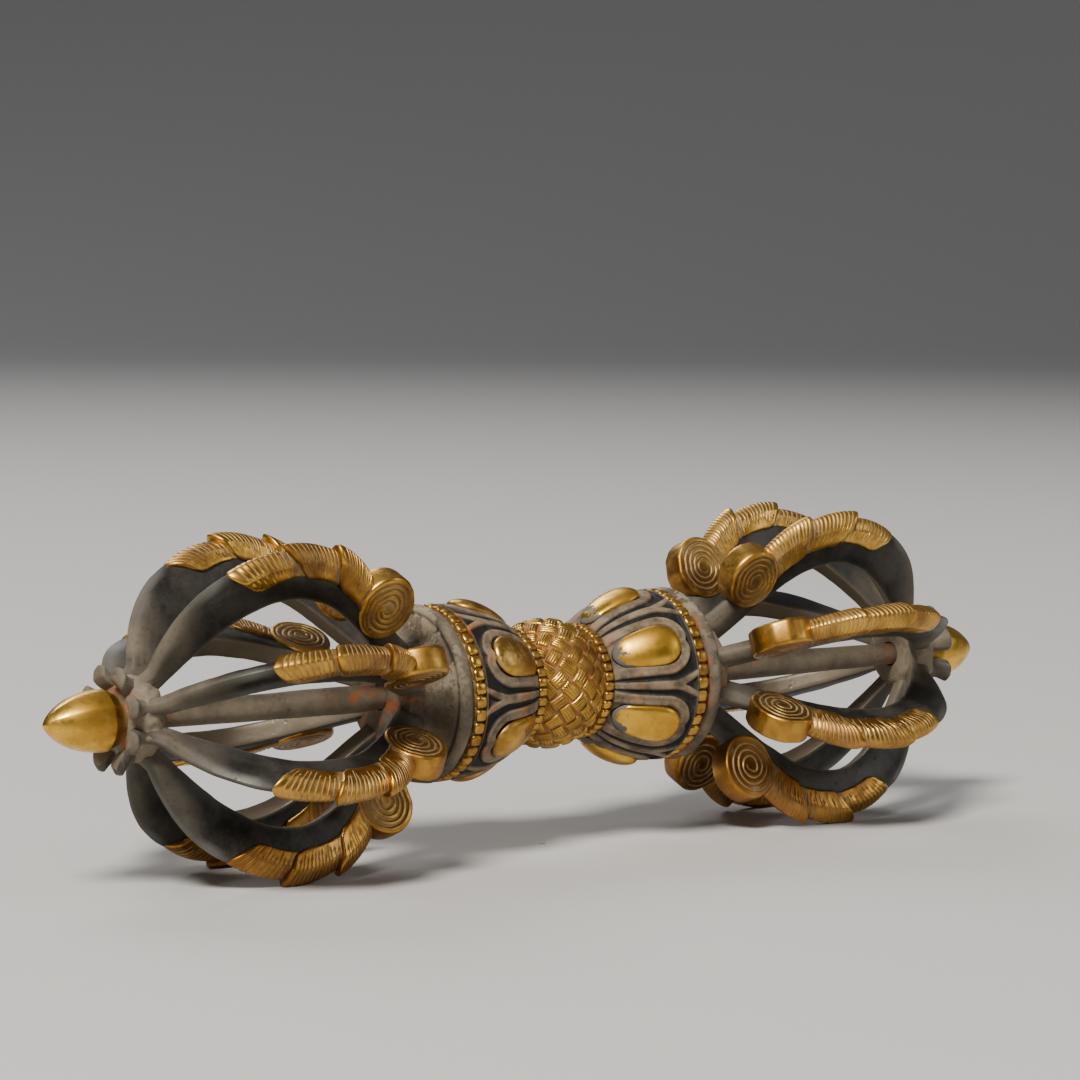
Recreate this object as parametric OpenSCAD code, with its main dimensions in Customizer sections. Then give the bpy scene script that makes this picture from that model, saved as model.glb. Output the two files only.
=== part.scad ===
// Nine-pronged dorje vajra lying on its side, in millimetres.
// The origin is the middle of the centre ball, X runs along the core rod and Z points up.
// Each end is drawn once, from the ball outwards along +X, and the left end is its mirror image.

/* [Core rod] */
// Diameter of the rod that runs through the hub and both cages
rod_d = 6.6; // [5:0.1:8]
// Diameter of the thin spigot at each end of the rod
rod_spigot_d = 4.6; // [3:0.1:4.8]
// Length of that spigot inside the pointed tip
rod_spigot_len = 11; // [6:0.5:13]
// Clearance between pieces that are seated in one another
fit_gap = 0.1; // [0.05:0.01:0.2]

/* [Ball] */
// Diameter of the centre ball
ball_d = 34.6; // [32:0.2:37]
// Width of the ball between its two flats
ball_w = 18.8; // [17:0.2:21]
// Diameter of the lotus spigot that enters the ball
ball_spigot_d = 22; // [18:0.5:23]
// Depth of the spigot in the ball
ball_spigot_len = 3; // [2:0.5:4]

/* [Bead rings] */
// Thickness of the ring beside the ball, from its hole to the top of its beads
ball_ring_t = 4.1; // [3.4:0.1:5]
// Width of the ring beside the ball
ball_ring_w = 3; // [2.4:0.1:3.6]
// Number of beads on the ring beside the ball
ball_ring_beads = 36; // [28:1:40]
// Thickness of the ring at the mouth of the lotus, from its hole to the top of its beads
mouth_ring_t = 4.9; // [4:0.1:6]
// Width of the ring at the mouth of the lotus
mouth_ring_w = 3.4; // [2.8:0.1:4]
// Number of beads on the ring at the mouth
mouth_ring_beads = 40; // [32:1:44]
// Width of the notch between two beads at the surface
bead_notch = 1; // [0.6:0.1:1.4]

/* [Lotus] */
// Length of a lotus cup between its two bead rings
lotus_len = 22; // [19:0.5:25]
// Diameter of the cup beside the ball
throat_d = 28.4; // [27:0.2:30]
// Diameter of the cup at its mouth, between the petals
mouth_d = 44.4; // [43:0.2:46]
// Height of a petal rim above the cup
rim_h = 0.8; // [0.4:0.1:1.2]
// Width of a petal over its rims
petal_w = 16; // [15:0.1:17]
// Distance of the petal ends from the mouth of the cup
petal_edge = 0.6; // [0.4:0.1:1]
// Width of the raised rim round a petal
rim_w = 1.9; // [1.4:0.1:2.4]
// Width of the ridge between two petals
ridge_w = 2.2; // [1.6:0.1:2.6]
// Clearance between a petal boss and the rim round it, where the boss is widest
boss_gap = 0.25; // [0.2:0.05:0.6]
// Height of a petal boss above the cup
boss_h = 2.4; // [1.8:0.1:2.4]

/* [Root plate] */
// How far the round flange behind the lotus stands out beyond the ring
flange_over = 0; // [-1:0.1:2]
// Thickness of the flange
flange_t = 5; // [4:0.2:6]
// Wall of the lotus round the spigot of the flange
mouth_wall = 4.2; // [3.6:0.1:5]
// Depth of that spigot in the lotus
mouth_spigot_len = 3; // [2:0.5:4]
// Diameter of the neck that holds the prong roots
neck_d = 27; // [25:0.5:30]
// Length of the neck
neck_len = 9.2; // [8.4:0.2:11]
// Length of a prong root in its slot
root_len = 7; // [6:0.2:7.6]
// Diameter across the floors of the root slots
root_floor_d = 18; // [17:0.5:20]

/* [Cage] */
// Length of the open cage from the neck to the tip collar
cage_len = 68; // [62:1:74]
// Diameter across the crests at the widest place
bow_d = 92; // [84:1:98]
// Distance of the widest place from the neck
bow_from_neck = 36; // [33:0.5:39]
// Depth of a prong from the top of its crest to the inside of its bar
prong_depth = 14.6; // [13:0.2:16]

/* [Prong bars] */
// Width of a bar under its crest
bar_w = 6; // [5.4:0.1:6.2]
// Width of a bar at its root
root_w = 5.2; // [4.6:0.1:5.4]
// Width of a bar at the tip collar
end_w = 4; // [3.4:0.1:4.2]
// Depth of a bar at the widest place
bar_depth = 10.4; // [9.4:0.2:11]
// Depth of the stem beside the neck
stem_depth = 7.5; // [6.5:0.1:8.5]
// Depth of a bar where it enters the tip collar
waist_depth = 4.4; // [3.6:0.1:5]
// Radius that the outer edge of a turned-out end nub reaches
nub_r = 14; // [13:0.1:15]
// Depth of that nub
nub_depth = 3.8; // [3:0.1:4.6]

/* [Feather crests] */
// Width of a crest
crest_w = 7.2; // [6.9:0.1:7.6]
// How far a crest reaches down the sides of its bar
crest_cover = 8.4; // [7:0.2:9.2]
// Radius of the arc that the crown of a crest follows
crest_arc_r = 32; // [30:0.5:34]
// How far the middle of that arc lies behind the widest place
arc_from_bow = 1; // [0:0.2:2]
// Angle of the free end of the crest on that arc, from the rod towards the widest place
crest_end_angle = 50; // [46:1:54]
// Length of one feather as an angle on the arc
feather_angle = 29.5; // [28:0.5:31]
// Angle by which a feather reaches under the next one
feather_overlap = 6; // [4:0.5:8]
// Slant of the free edge of a feather
feather_slant = 16; // [8:1:20]
// Height of the step from one feather to the next
feather_step_h = 0.7; // [0.4:0.1:1]
// How far a feather leans outwards towards its free edge
feather_lean = 1.3; // [0.8:0.1:2.2]
// Diameter of the scroll at the root of a crest
scroll_d = 17; // [15:0.5:19]
// Width of the scroll
scroll_w = 7.6; // [7.2:0.1:8]
// Angle on the arc from the root of the last feather to the scroll centre
scroll_angle = 8.6; // [7:0.2:10]
// Distance of the scroll centre inside the arc
scroll_depth = 1; // [0:0.1:2]
// Depth of the worn flats that the vajra rests on
rest_flat = 0.35; // [0.2:0.05:0.6]

/* [Tips] */
// Diameter of the tip collar
collar_d = 17; // [16:0.2:18]
// Length of the tip collar
collar_len = 10; // [9:0.2:12]
// Diameter across the floors of the collar slots
end_floor_d = 13; // [12.6:0.1:13.6]
// Diameter of the pointed tip where it is thickest
tip_d = 16; // [14:0.2:17]
// Diameter of the tip at its base on the collar
tip_base_d = 12.4; // [11:0.2:13]
// Length of the pointed tip
tip_len = 20; // [17:0.5:24]
// Length of the cone between the base of the tip and its thickest place
tip_shoulder = 3.8; // [3:0.2:5]

/* [Hidden] */
$fn = 48;
left = -1;
right = 1;
prong_count = 8;
petal_count = 6;
feather_count = 3;
gilt = [0.72, 0.55, 0.25];
patina = [0.2, 0.2, 0.19];
bronze = [0.42, 0.38, 0.32];
turn = 360 / prong_count;
petal_turn = 360 / petal_count;
// Share of the cup length at which a petal boss is widest
boss_at = 0.6;
// Diameters that follow from the lotus and the spigots
mouth_spigot_d = mouth_d - 2 * mouth_wall;
ball_ring_d = ball_spigot_d + 2 * (fit_gap + ball_ring_t);
mouth_ring_d = mouth_spigot_d + 2 * (fit_gap + mouth_ring_t);
flange_d = mouth_ring_d + 2 * flange_over;
// Faces met along the axis, from the ball outwards
ball_face_x = ball_w / 2;
throat_x = ball_face_x + ball_ring_w;
mouth_x = throat_x + lotus_len;
flange_x = mouth_x + mouth_ring_w;
neck_x = flange_x + flange_t;
cage_x = neck_x + neck_len;
collar_x = cage_x + cage_len;
tip_x = collar_x + collar_len;
apex_x = tip_x + tip_len;
// Places on a prong, as [distance along the axis, distance from the axis]
root_floor_r = root_floor_d / 2;
end_floor_r = end_floor_d / 2;
bow_x = cage_x + bow_from_neck;
bow_in_r = bow_d / 2 - prong_depth;
bow_out_r = bow_in_r + bar_depth;
arc_centre = [bow_x - arc_from_bow, bow_d / 2 - crest_arc_r];
scroll_at = crest_end_angle + feather_count * feather_angle + feather_overlap + scroll_angle;
scroll_centre = arc_centre + (crest_arc_r - scroll_depth) * [cos(scroll_at), sin(scroll_at)];
rise = bow_in_r - root_floor_r;
fall_in = bow_in_r - end_floor_r;
fall_out = bow_out_r - end_floor_r;
stem_dir = [0.3 * bow_from_neck, 0.36 * rise] / norm([0.3 * bow_from_neck, 0.36 * rise]);
stem_in = [cage_x, root_floor_r];
stem_out = stem_in + stem_depth * [-stem_dir[1], stem_dir[0]];
waist_in = [collar_x + 0.2 * collar_len, end_floor_r];
waist_out = [collar_x + 0.33 * collar_len, end_floor_r + 1.75 * waist_depth];
nub_in = [tip_x + 0.2 * collar_len, nub_r - nub_depth];
nub_out = [tip_x + 0.08 * collar_len, nub_r];
// Radius of a petal boss at its widest place, from the room inside the rim and the height of the boss
boss_half = petal_half(petal_w / 2 - rim_w, boss_at) - boss_gap;
boss_rise = cup_r(boss_at) + boss_h - sqrt(pow(cup_r(boss_at), 2) - pow(boss_half, 2));
boss_r = (pow(boss_half, 2) + pow(boss_rise, 2)) / (2 * boss_rise);
// Height of the plane that the lower crests rest on
rest_z = -((bow_d / 2 - crest_w / 2) * cos(turn / 2) + crest_w / 2 - rest_flat);

// Point at share t of a cubic curve from a to d, with the handles b and c
function curve(a, b, c, d, t) =
    pow(1 - t, 3) * a + 3 * pow(1 - t, 2) * t * b + 3 * (1 - t) * t * t * c + pow(t, 3) * d;

// Radius of the lotus cup at share u of its length
function cup_r(u) = throat_d / 2 + (mouth_d - throat_d) / 2 * sin(90 * pow(u, 0.75));

// Half the width of a petal at share t of its length, for the half width w
function petal_half(w, t) = w * (0.68 + 0.32 * sin(90 * pow(t, 0.6))) * sqrt(1 - pow(t, 8));

// Half the width of a tear shape at share t of its length, from its slim end to its round end
function tear_half(t) = 1.24 * pow(t, 0.4) * sqrt(1 - pow(t, 5));

// One cross-section of a bar: its inner edge, its outer edge and its width
function rise_station(t) = [
    curve(stem_in, stem_in + [0.3 * bow_from_neck, 0.36 * rise],
        [bow_x - 0.45 * bow_from_neck, bow_in_r], [bow_x, bow_in_r], t),
    curve(stem_out, stem_out + 0.44 * bow_from_neck * stem_dir,
        [bow_x - 0.42 * bow_from_neck, bow_out_r], [bow_x, bow_out_r], t),
    root_w + (bar_w - root_w) * t];
function fall_station(t) = [
    curve([bow_x, bow_in_r], [bow_x + 0.45 * (waist_in[0] - bow_x), bow_in_r],
        waist_in + [-0.16 * (waist_in[0] - bow_x), 0.25 * fall_in], waist_in, t),
    curve([bow_x, bow_out_r], [bow_x + 0.5 * (waist_out[0] - bow_x), bow_out_r + 0.02 * fall_out],
        waist_out + [-0.1 * (waist_out[0] - bow_x), 0.56 * fall_out], waist_out, t),
    bar_w + (end_w - bar_w) * t];
function nub_station(t) = [
    curve(waist_in, waist_in + [0.3 * collar_len, 0], [tip_x, end_floor_r], nub_in, t),
    curve(waist_out, [collar_x + 0.55 * collar_len, end_floor_r + 0.9 * waist_depth],
        [collar_x + 0.8 * collar_len, end_floor_r + 0.75 * waist_depth], nub_out, t),
    end_w];
function bar_stations() = concat(
    [[[cage_x - root_len, root_floor_r], [cage_x - root_len, neck_d / 2], root_w]],
    [for (i = [0 : 7]) rise_station(i / 8)],
    [for (i = [0 : 8]) fall_station(i / 9)],
    [for (i = [0 : 5]) nub_station(i / 5)]);

// Corners of a cross-section, as [share of the depth, share of the half width]
bar_corners = [[0, 0.72], [0.12, 1], [0.8, 1], [1, 0.5], [1, -0.5], [0.8, -1], [0.12, -1], [0, -0.72]];

// Draws an end piece at its own end
module on_end(side) {
    if (side == left)
        mirror([1, 0, 0]) children();
    else
        children();
}

// Turns a prong that was drawn upwards to its place round the axis
module at_prong(number) {
    rotate([turn * (number - 0.5), 0, 0]) children();
}

// Turns a petal that was drawn upwards to its place round the axis
module at_petal(number) {
    rotate([petal_turn * number, 0, 0]) children();
}

// Cylinder along the axis from one distance to another
module bar_x(from, to, d) {
    translate([from, 0, 0]) rotate([0, 90, 0]) cylinder(d = d, h = to - from);
}

// Bore for the core rod through everything from one distance to another
module rod_bore(from, to) {
    bar_x(from - 1, to + 1, rod_d + 2 * fit_gap);
}

// Rod that holds the whole object together
module core_rod() {
    color(bronze) union() {
        bar_x(-tip_x, tip_x, rod_d);
        bar_x(-tip_x - rod_spigot_len, tip_x + rod_spigot_len, rod_spigot_d);
    }
}

// Ball with a flat and a socket on each side
module centre_ball() {
    color(gilt) difference() {
        intersection() {
            sphere(d = ball_d, $fn = 96);
            bar_x(-ball_face_x, ball_face_x, ball_d + 2);
        }
        rod_bore(-ball_face_x, ball_face_x);
        for (side = [left, right])
            on_end(side)
                bar_x(ball_face_x - ball_spigot_len - fit_gap, ball_face_x + 1, ball_spigot_d + 2 * fit_gap);
    }
}

// Ring of pillow beads with its hole on a spigot
module bead_ring(from, w, d, spigot_d, beads) {
    round_r = w / 2;
    translate([from, 0, 0]) rotate([0, 90, 0]) difference() {
        rotate_extrude($fn = 96) {
            square([d / 2 - round_r, w]);
            translate([d / 2 - round_r, round_r]) circle(r = round_r);
        }
        translate([0, 0, -1]) cylinder(d = spigot_d + 2 * fit_gap, h = w + 2);
        for (i = [1 : beads])
            rotate([0, 0, i * 360 / beads])
                translate([d / 2, 0, -1]) cylinder(d = bead_notch * sqrt(2), h = w + 2, $fn = 4);
    }
}

module ball_ring(side) {
    color(gilt) on_end(side)
        bead_ring(ball_face_x, ball_ring_w, ball_ring_d, ball_spigot_d, ball_ring_beads);
}

module mouth_ring(side) {
    color(gilt) on_end(side)
        bead_ring(mouth_x, mouth_ring_w, mouth_ring_d, mouth_spigot_d, mouth_ring_beads);
}

// Solid lotus cup, raised all over by a height
module cup(raise) {
    steps = 14;
    rotate([0, 90, 0]) rotate_extrude($fn = 96) polygon(concat(
        [[0, throat_x]],
        [for (i = [0 : steps]) [cup_r(i / steps) + raise, throat_x + i / steps * lotus_len]],
        [[0, mouth_x]]));
}

// Outline of a petal, standing along the radius
module petal_prism(w, length, start) {
    steps = 10;
    shares = [for (i = [0 : steps]) sin(90 * i / steps)];
    linear_extrude(height = mouth_d) polygon(concat(
        [for (t = shares) [start + t * length, petal_half(w / 2, t)]],
        [for (i = [steps - 1 : -1 : 0]) [start + shares[i] * length, -petal_half(w / 2, shares[i])]]));
}

// Outline of the ridge between two petals, forked towards the mouth
module ridge_prism() {
    half = ridge_w / 2;
    end_x = mouth_x - petal_edge;
    linear_extrude(height = mouth_d) polygon([
        [throat_x, half], [throat_x + 0.62 * lotus_len, half], [end_x, 3.3 * half], [end_x, 2.1 * half],
        [throat_x + 0.74 * lotus_len, 0],
        [end_x, -2.1 * half], [end_x, -3.3 * half], [throat_x + 0.62 * lotus_len, -half], [throat_x, -half]]);
}

// Cup with a raised rim round each petal and a ridge between petals
module lotus(side) {
    color(patina) on_end(side) difference() {
        union() {
            cup(0);
            bar_x(ball_face_x - ball_spigot_len, throat_x + 1, ball_spigot_d);
            intersection() {
                cup(rim_h);
                for (i = [1 : petal_count]) {
                    at_petal(i) difference() {
                        petal_prism(petal_w, lotus_len - petal_edge, throat_x);
                        petal_prism(petal_w - 2 * rim_w, lotus_len - petal_edge, throat_x - rim_w);
                    }
                    at_petal(i + 0.5) ridge_prism();
                }
            }
        }
        rod_bore(ball_face_x - ball_spigot_len, mouth_x);
        bar_x(mouth_x - mouth_spigot_len - fit_gap, mouth_x + 1, mouth_spigot_d + 2 * fit_gap);
    }
}

// Six drop-shaped bosses, each seated on its petal
module petal_bosses(side) {
    steps = 10;
    slim = [throat_x + 0.03 * lotus_len, cup_r(0.03) - 0.9 * boss_h];
    wide = [throat_x + boss_at * lotus_len, cup_r(boss_at) + boss_h - boss_r];
    run = (wide - slim) / 0.66;
    color(gilt) on_end(side) difference() {
        for (number = [1 : petal_count])
            at_petal(number)
                translate([slim[0], 0, slim[1]]) rotate([0, atan2(run[0], run[1]), 0])
                    rotate_extrude() polygon([for (i = [0 : steps])
                        [boss_r * tear_half(i / steps), norm(run) * i / steps]]);
        cup(0);
    }
}

// Flange and neck with a slot for each prong root
module root_plate(side) {
    fillet_h = 0.3 * neck_len;
    color(bronze) on_end(side) difference() {
        union() {
            bar_x(mouth_x - mouth_spigot_len, flange_x + 1, mouth_spigot_d);
            translate([flange_x, 0, 0]) rotate([0, 90, 0]) rotate_extrude($fn = 96) {
                square([flange_d / 2 - flange_t / 2, flange_t]);
                translate([flange_d / 2 - flange_t / 2, flange_t / 2]) circle(d = flange_t);
            }
            bar_x(neck_x - 1, cage_x, neck_d);
            translate([neck_x, 0, 0]) rotate([0, 90, 0])
                cylinder(d1 = neck_d + 2 * fillet_h, d2 = neck_d, h = fillet_h);
        }
        rod_bore(mouth_x - mouth_spigot_len, cage_x);
        for (i = [1 : prong_count])
            at_prong(i)
                translate([cage_x - root_len - fit_gap, -root_w / 2 - fit_gap, root_floor_r - fit_gap])
                    cube([root_len + 2, root_w + 2 * fit_gap, neck_d]);
    }
}

// Bowed bar of one prong, from its root to its turned-out nub
module bar(side, number) {
    stations = bar_stations();
    sides = len(bar_corners);
    last = len(stations) - 1;
    points = [for (s = stations, c = bar_corners)
        let (p = s[0] + c[0] * (s[1] - s[0])) [p[0], c[1] * s[2] / 2, p[1]]];
    walls = [for (i = [0 : last - 1], j = [0 : sides - 1])
        let (k = (j + 1) % sides)
            [i * sides + j, i * sides + k, (i + 1) * sides + k, (i + 1) * sides + j]];
    color(patina) on_end(side) at_prong(number)
        polyhedron(points, concat(walls,
            [[for (j = [sides - 1 : -1 : 0]) j]],
            [[for (j = [0 : sides - 1]) last * sides + j]]));
}

// Channel that a crest keeps free for its bar, open towards the rod
module bar_channel() {
    stations = concat(
        [for (i = [0 : 7]) rise_station(i / 8)],
        [for (i = [0 : 9]) fall_station(i / 9)]);
    outside = [for (s = stations) s[1] + fit_gap * (s[1] - s[0]) / norm(s[1] - s[0])];
    inside = [for (i = [len(stations) - 1 : -1 : 0])
        let (s = stations[i]) s[0] - 0.3 * (s[1] - s[0])];
    rotate([90, 0, 0])
        linear_extrude(height = bar_w + 2 * fit_gap, center = true) polygon(concat(outside, inside));
}

// One overlapping feather of a crest, counted from the free end
module feather(number) {
    end = crest_end_angle + (number - 1) * feather_angle;
    start = end + feather_angle + feather_overlap;
    middle = (start + end) / 2;
    crown = crest_arc_r + (number - 2) * feather_step_h;
    far = 1.15 * crown;
    near = crown - 1.25 * crest_cover;
    centre = arc_centre + feather_lean * [sin(middle), -cos(middle)];
    translate([centre[0], 0, centre[1]]) rotate([90, 0, 0]) intersection() {
        rotate_extrude($fn = 96) {
            translate([crown - crest_cover, -crest_w / 2]) square([crest_cover - crest_w / 2, crest_w]);
            translate([crown - crest_w / 2, 0]) circle(d = crest_w);
        }
        linear_extrude(height = crest_w + 2, center = true) polygon([
            far * [cos(end), sin(end)], far * [cos(middle), sin(middle)] / cos((start - end) / 2),
            far * [cos(start), sin(start)],
            near * [cos(start), sin(start)], near * [cos(end + feather_slant), sin(end + feather_slant)]]);
    }
}

// Gilt crest of one prong: a scroll and the feathers, straddling the bar
module crest(side, number) {
    color(gilt) difference() {
        on_end(side) at_prong(number) difference() {
            union() {
                for (i = [1 : feather_count])
                    feather(i);
                translate([scroll_centre[0], 0, scroll_centre[1]]) rotate([90, 0, 0])
                    cylinder(d = scroll_d, h = scroll_w, center = true);
            }
            bar_channel();
        }
        translate([-apex_x, -bow_d, rest_z - bow_d]) cube([2 * apex_x, 2 * bow_d, bow_d]);
    }
}

// Collar on the rod with a slot for each prong end
module collar(side) {
    color(bronze) on_end(side) difference() {
        bar_x(collar_x, tip_x, collar_d);
        rod_bore(collar_x, tip_x);
        for (i = [1 : prong_count])
            at_prong(i)
                translate([collar_x - 1, -end_w / 2 - fit_gap, end_floor_r - fit_gap])
                    cube([collar_len + 2, end_w + 2 * fit_gap, collar_d]);
    }
}

// Pointed tip with a blind bore for the spigot of the rod
module tip(side) {
    steps = 12;
    shoulder_x = tip_x + tip_shoulder;
    color(gilt) on_end(side) difference() {
        rotate([0, 90, 0]) rotate_extrude($fn = 96) polygon(concat(
            [[0, tip_x], [tip_base_d / 2, tip_x]],
            [for (i = [0 : steps])
                [tip_d / 2 * pow(1 - pow(i / steps, 2), 0.8), shoulder_x + (apex_x - shoulder_x) * i / steps]]));
        bar_x(tip_x - 1, tip_x + rod_spigot_len + fit_gap, rod_spigot_d + 2 * fit_gap);
    }
}

core_rod();
centre_ball();
ball_ring(left);  // left_ball_ring
ball_ring(right);  // right_ball_ring
lotus(left);  // left_lotus
lotus(right);  // right_lotus
petal_bosses(left);  // left_petal_bosses
petal_bosses(right);  // right_petal_bosses
mouth_ring(left);  // left_mouth_ring
mouth_ring(right);  // right_mouth_ring
root_plate(left);  // left_root_plate
root_plate(right);  // right_root_plate
collar(left);  // left_collar
collar(right);  // right_collar
tip(left);  // left_tip
tip(right);  // right_tip
bar(left, 1);  // left_bar_1
bar(left, 2);  // left_bar_2
bar(left, 3);  // left_bar_3
bar(left, 4);  // left_bar_4
bar(left, 5);  // left_bar_5
bar(left, 6);  // left_bar_6
bar(left, 7);  // left_bar_7
bar(left, 8);  // left_bar_8
bar(right, 1);  // right_bar_1
bar(right, 2);  // right_bar_2
bar(right, 3);  // right_bar_3
bar(right, 4);  // right_bar_4
bar(right, 5);  // right_bar_5
bar(right, 6);  // right_bar_6
bar(right, 7);  // right_bar_7
bar(right, 8);  // right_bar_8
crest(left, 1);  // left_crest_1
crest(left, 2);  // left_crest_2
crest(left, 3);  // left_crest_3
crest(left, 4);  // left_crest_4
crest(left, 5);  // left_crest_5
crest(left, 6);  // left_crest_6
crest(left, 7);  // left_crest_7
crest(left, 8);  // left_crest_8
crest(right, 1);  // right_crest_1
crest(right, 2);  // right_crest_2
crest(right, 3);  // right_crest_3
crest(right, 4);  // right_crest_4
crest(right, 5);  // right_crest_5
crest(right, 6);  // right_crest_6
crest(right, 7);  // right_crest_7
crest(right, 8);  // right_crest_8
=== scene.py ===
# %% [markdown]
# A dorje is a Tibetan ritual sceptre. Two cages of bowed prongs stand at the ends of a hub, and the hub is a
# woven ball between two lotus cups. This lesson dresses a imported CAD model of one. The CAD model is the frame:
# it says where each piece sits, and every piece below is built in the same place and the same metres.

# %% Load the frame
import math
import bpy
import numpy as np
from mathutils import Matrix, Vector


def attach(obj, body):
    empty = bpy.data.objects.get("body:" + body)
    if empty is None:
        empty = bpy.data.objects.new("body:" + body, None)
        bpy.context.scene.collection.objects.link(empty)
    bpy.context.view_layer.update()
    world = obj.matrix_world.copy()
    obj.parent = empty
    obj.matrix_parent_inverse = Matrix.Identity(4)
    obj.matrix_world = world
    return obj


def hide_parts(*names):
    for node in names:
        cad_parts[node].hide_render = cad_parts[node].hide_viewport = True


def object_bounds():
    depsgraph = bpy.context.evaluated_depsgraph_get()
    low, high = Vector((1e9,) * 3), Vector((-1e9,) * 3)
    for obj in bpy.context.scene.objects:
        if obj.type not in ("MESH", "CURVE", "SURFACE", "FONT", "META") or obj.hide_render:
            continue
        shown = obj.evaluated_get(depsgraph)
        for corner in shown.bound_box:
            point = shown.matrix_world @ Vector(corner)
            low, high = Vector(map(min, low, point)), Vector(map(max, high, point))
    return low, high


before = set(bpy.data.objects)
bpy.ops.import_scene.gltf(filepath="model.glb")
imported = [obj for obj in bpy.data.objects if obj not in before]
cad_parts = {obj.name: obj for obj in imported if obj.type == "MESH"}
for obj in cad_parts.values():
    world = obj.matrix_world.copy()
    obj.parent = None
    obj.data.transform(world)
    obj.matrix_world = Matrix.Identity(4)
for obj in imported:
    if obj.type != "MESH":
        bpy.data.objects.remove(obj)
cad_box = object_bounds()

print("nodes in the frame:", len(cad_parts))

# %% [markdown]
# The pieces share a few measures, in millimetres along the rod from the middle of the ball. They are the sizes
# of the CAD model. Keeping them in one place means that a bead ring and the cup beside it cannot drift apart.
# A measure that only one kind of piece needs stands in the cell of that piece.

# %% Measures of the vajra
MM = 0.001
TINY = 1e-6
BALL_FACE, THROAT, MOUTH, CAGE, COLLAR, TIP, APEX = 9.4, 12.4, 34.4, 52.0, 120.0, 130.0, 150.0
ROD_R = 3.3
PRONGS, PETALS = 8, 6
PRONG_ANGLE = 360 / PRONGS
ENDS = {"left": -1, "right": 1}
REST_Z = cad_box[0][2] / MM
print("tip to tip %.0f mm, rests at z = %.2f mm" % (2 * APEX, REST_Z))

# %% [markdown]
# Most pieces are grids of points: rings of points along a path, or rows of points round an axis. One helper
# joins such a grid into four-sided faces, and another turns points and faces into a finished object. The object
# stays at the origin and the place of the piece is in its mesh, so that patterns in the materials stay put.
# Small float attributes, here called masks, carry what the materials need: where a line was cut, or where
# dust gathers.

# %% Helpers that turn grids of points into pieces
def grid_faces(rows, columns, wrap_rows=False, wrap_columns=False):
    """Four-sided faces between the neighbours in a grid of points."""
    row = np.arange(rows if wrap_rows else rows - 1)[:, None]
    column = np.arange(columns if wrap_columns else columns - 1)[None, :]
    below, beside = (row + 1) % rows, (column + 1) % columns
    corners = ((row, column), (row, beside), (below, beside), (below, column))
    numbers = np.broadcast_arrays(*(r * columns + c for r, c in corners))
    return np.stack(numbers, -1).reshape(-1, 4).tolist()


def tube_faces(rows, columns):
    """Faces of a closed tube: rings of points joined one to the next, with a lid on each end."""
    last = (rows - 1) * columns
    lids = [list(range(columns))[::-1], list(range(last, last + columns))]
    return grid_faces(rows, columns, wrap_columns=True) + lids


def flipped(faces):
    return [face[::-1] for face in faces]


def outward(faces, side):
    return faces if side > 0 else flipped(faces)


def at_prong(points, side, number):
    """Turns a piece that was drawn upwards at the right end to its own place."""
    a = math.radians(PRONG_ANGLE * (number - 0.5))
    x, y, z = points.T
    return np.stack([side * x, y * math.cos(a) - z * math.sin(a), y * math.sin(a) + z * math.cos(a)], -1)


def grid(x, y, z):
    """Points from three grids of numbers. A row or a column is repeated as often as the others need it."""
    return np.stack(np.broadcast_arrays(x, y, z), -1)


def rise(value, low, high):
    """Goes from 0 at low to 1 at high and stays there. It falls if high is the smaller one."""
    return np.clip((value - low) / (high - low), 0, 1)


def near(value, middle, width):
    """A soft bump that is 1 at the middle and fades over the width."""
    return np.exp(-((value - middle) / width) ** 2)


def joined(parts):
    """One set of points, faces and masks from several closed shells."""
    points, faces, masks, start = [], [], {}, 0
    for part_points, part_faces, part_masks in parts:
        points.append(part_points)
        faces += [[v + start for v in face] for face in part_faces]
        for mask, values in part_masks.items():
            masks.setdefault(mask, []).append(np.broadcast_to(np.ravel(values), len(part_points)))
        start += len(part_points)
    return np.concatenate(points), faces, {mask: np.concatenate(values) for mask, values in masks.items()}


def ripple(points, size, seed):
    """Smooth unevenness from -1 to 1, as a hand-finished casting has, with lumps of about the given size."""
    rng = np.random.default_rng(seed)
    total, waves = np.zeros(len(points)), 7
    for _ in range(waves):
        way = rng.normal(size=3)
        way *= math.tau / (size * rng.uniform(0.7, 1.8) * np.linalg.norm(way))
        total += np.sin(points @ way + rng.uniform(0, math.tau))
    return total / (waves / 2)


def plain_mesh(name, points_mm, faces, masks):
    points = np.reshape(points_mm, (-1, 3)) * MM
    mesh = bpy.data.meshes.new(name)
    mesh.from_pydata(points.tolist(), [], faces)
    for mask, values in masks.items():
        values = np.array(np.broadcast_to(np.ravel(values), len(points)), np.float32)
        mesh.attributes.new(mask, "FLOAT", "POINT").data.foreach_set("value", values)
    mesh.update()
    return mesh


def end_mesh(name, points, faces, masks, side):
    """The mesh of a piece that was drawn at the right end, moved to its own end."""
    return plain_mesh(name, np.reshape(points, (-1, 3)) * [side, 1, 1], outward(faces, side), masks)


def new_object(name, data):
    obj = bpy.data.objects.new(name, data)
    bpy.context.scene.collection.objects.link(obj)
    return obj


def finish_piece(name, mesh, node, material, crease=40):
    obj = new_object(name, mesh)
    mesh.materials.clear()
    mesh.materials.append(material)
    mesh.shade_smooth()
    mesh.set_sharp_from_angle(angle=math.radians(crease))
    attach(obj, "root")
    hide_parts(node)


print("helpers ready")

# %% [markdown]
# Materials and Geometry Nodes are both trees of nodes. A few helpers add a node, feed its inputs and give back
# one of its outputs. An output knows the tree that it belongs to, so most helpers need no more than the outputs
# and numbers that they work on.

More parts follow.
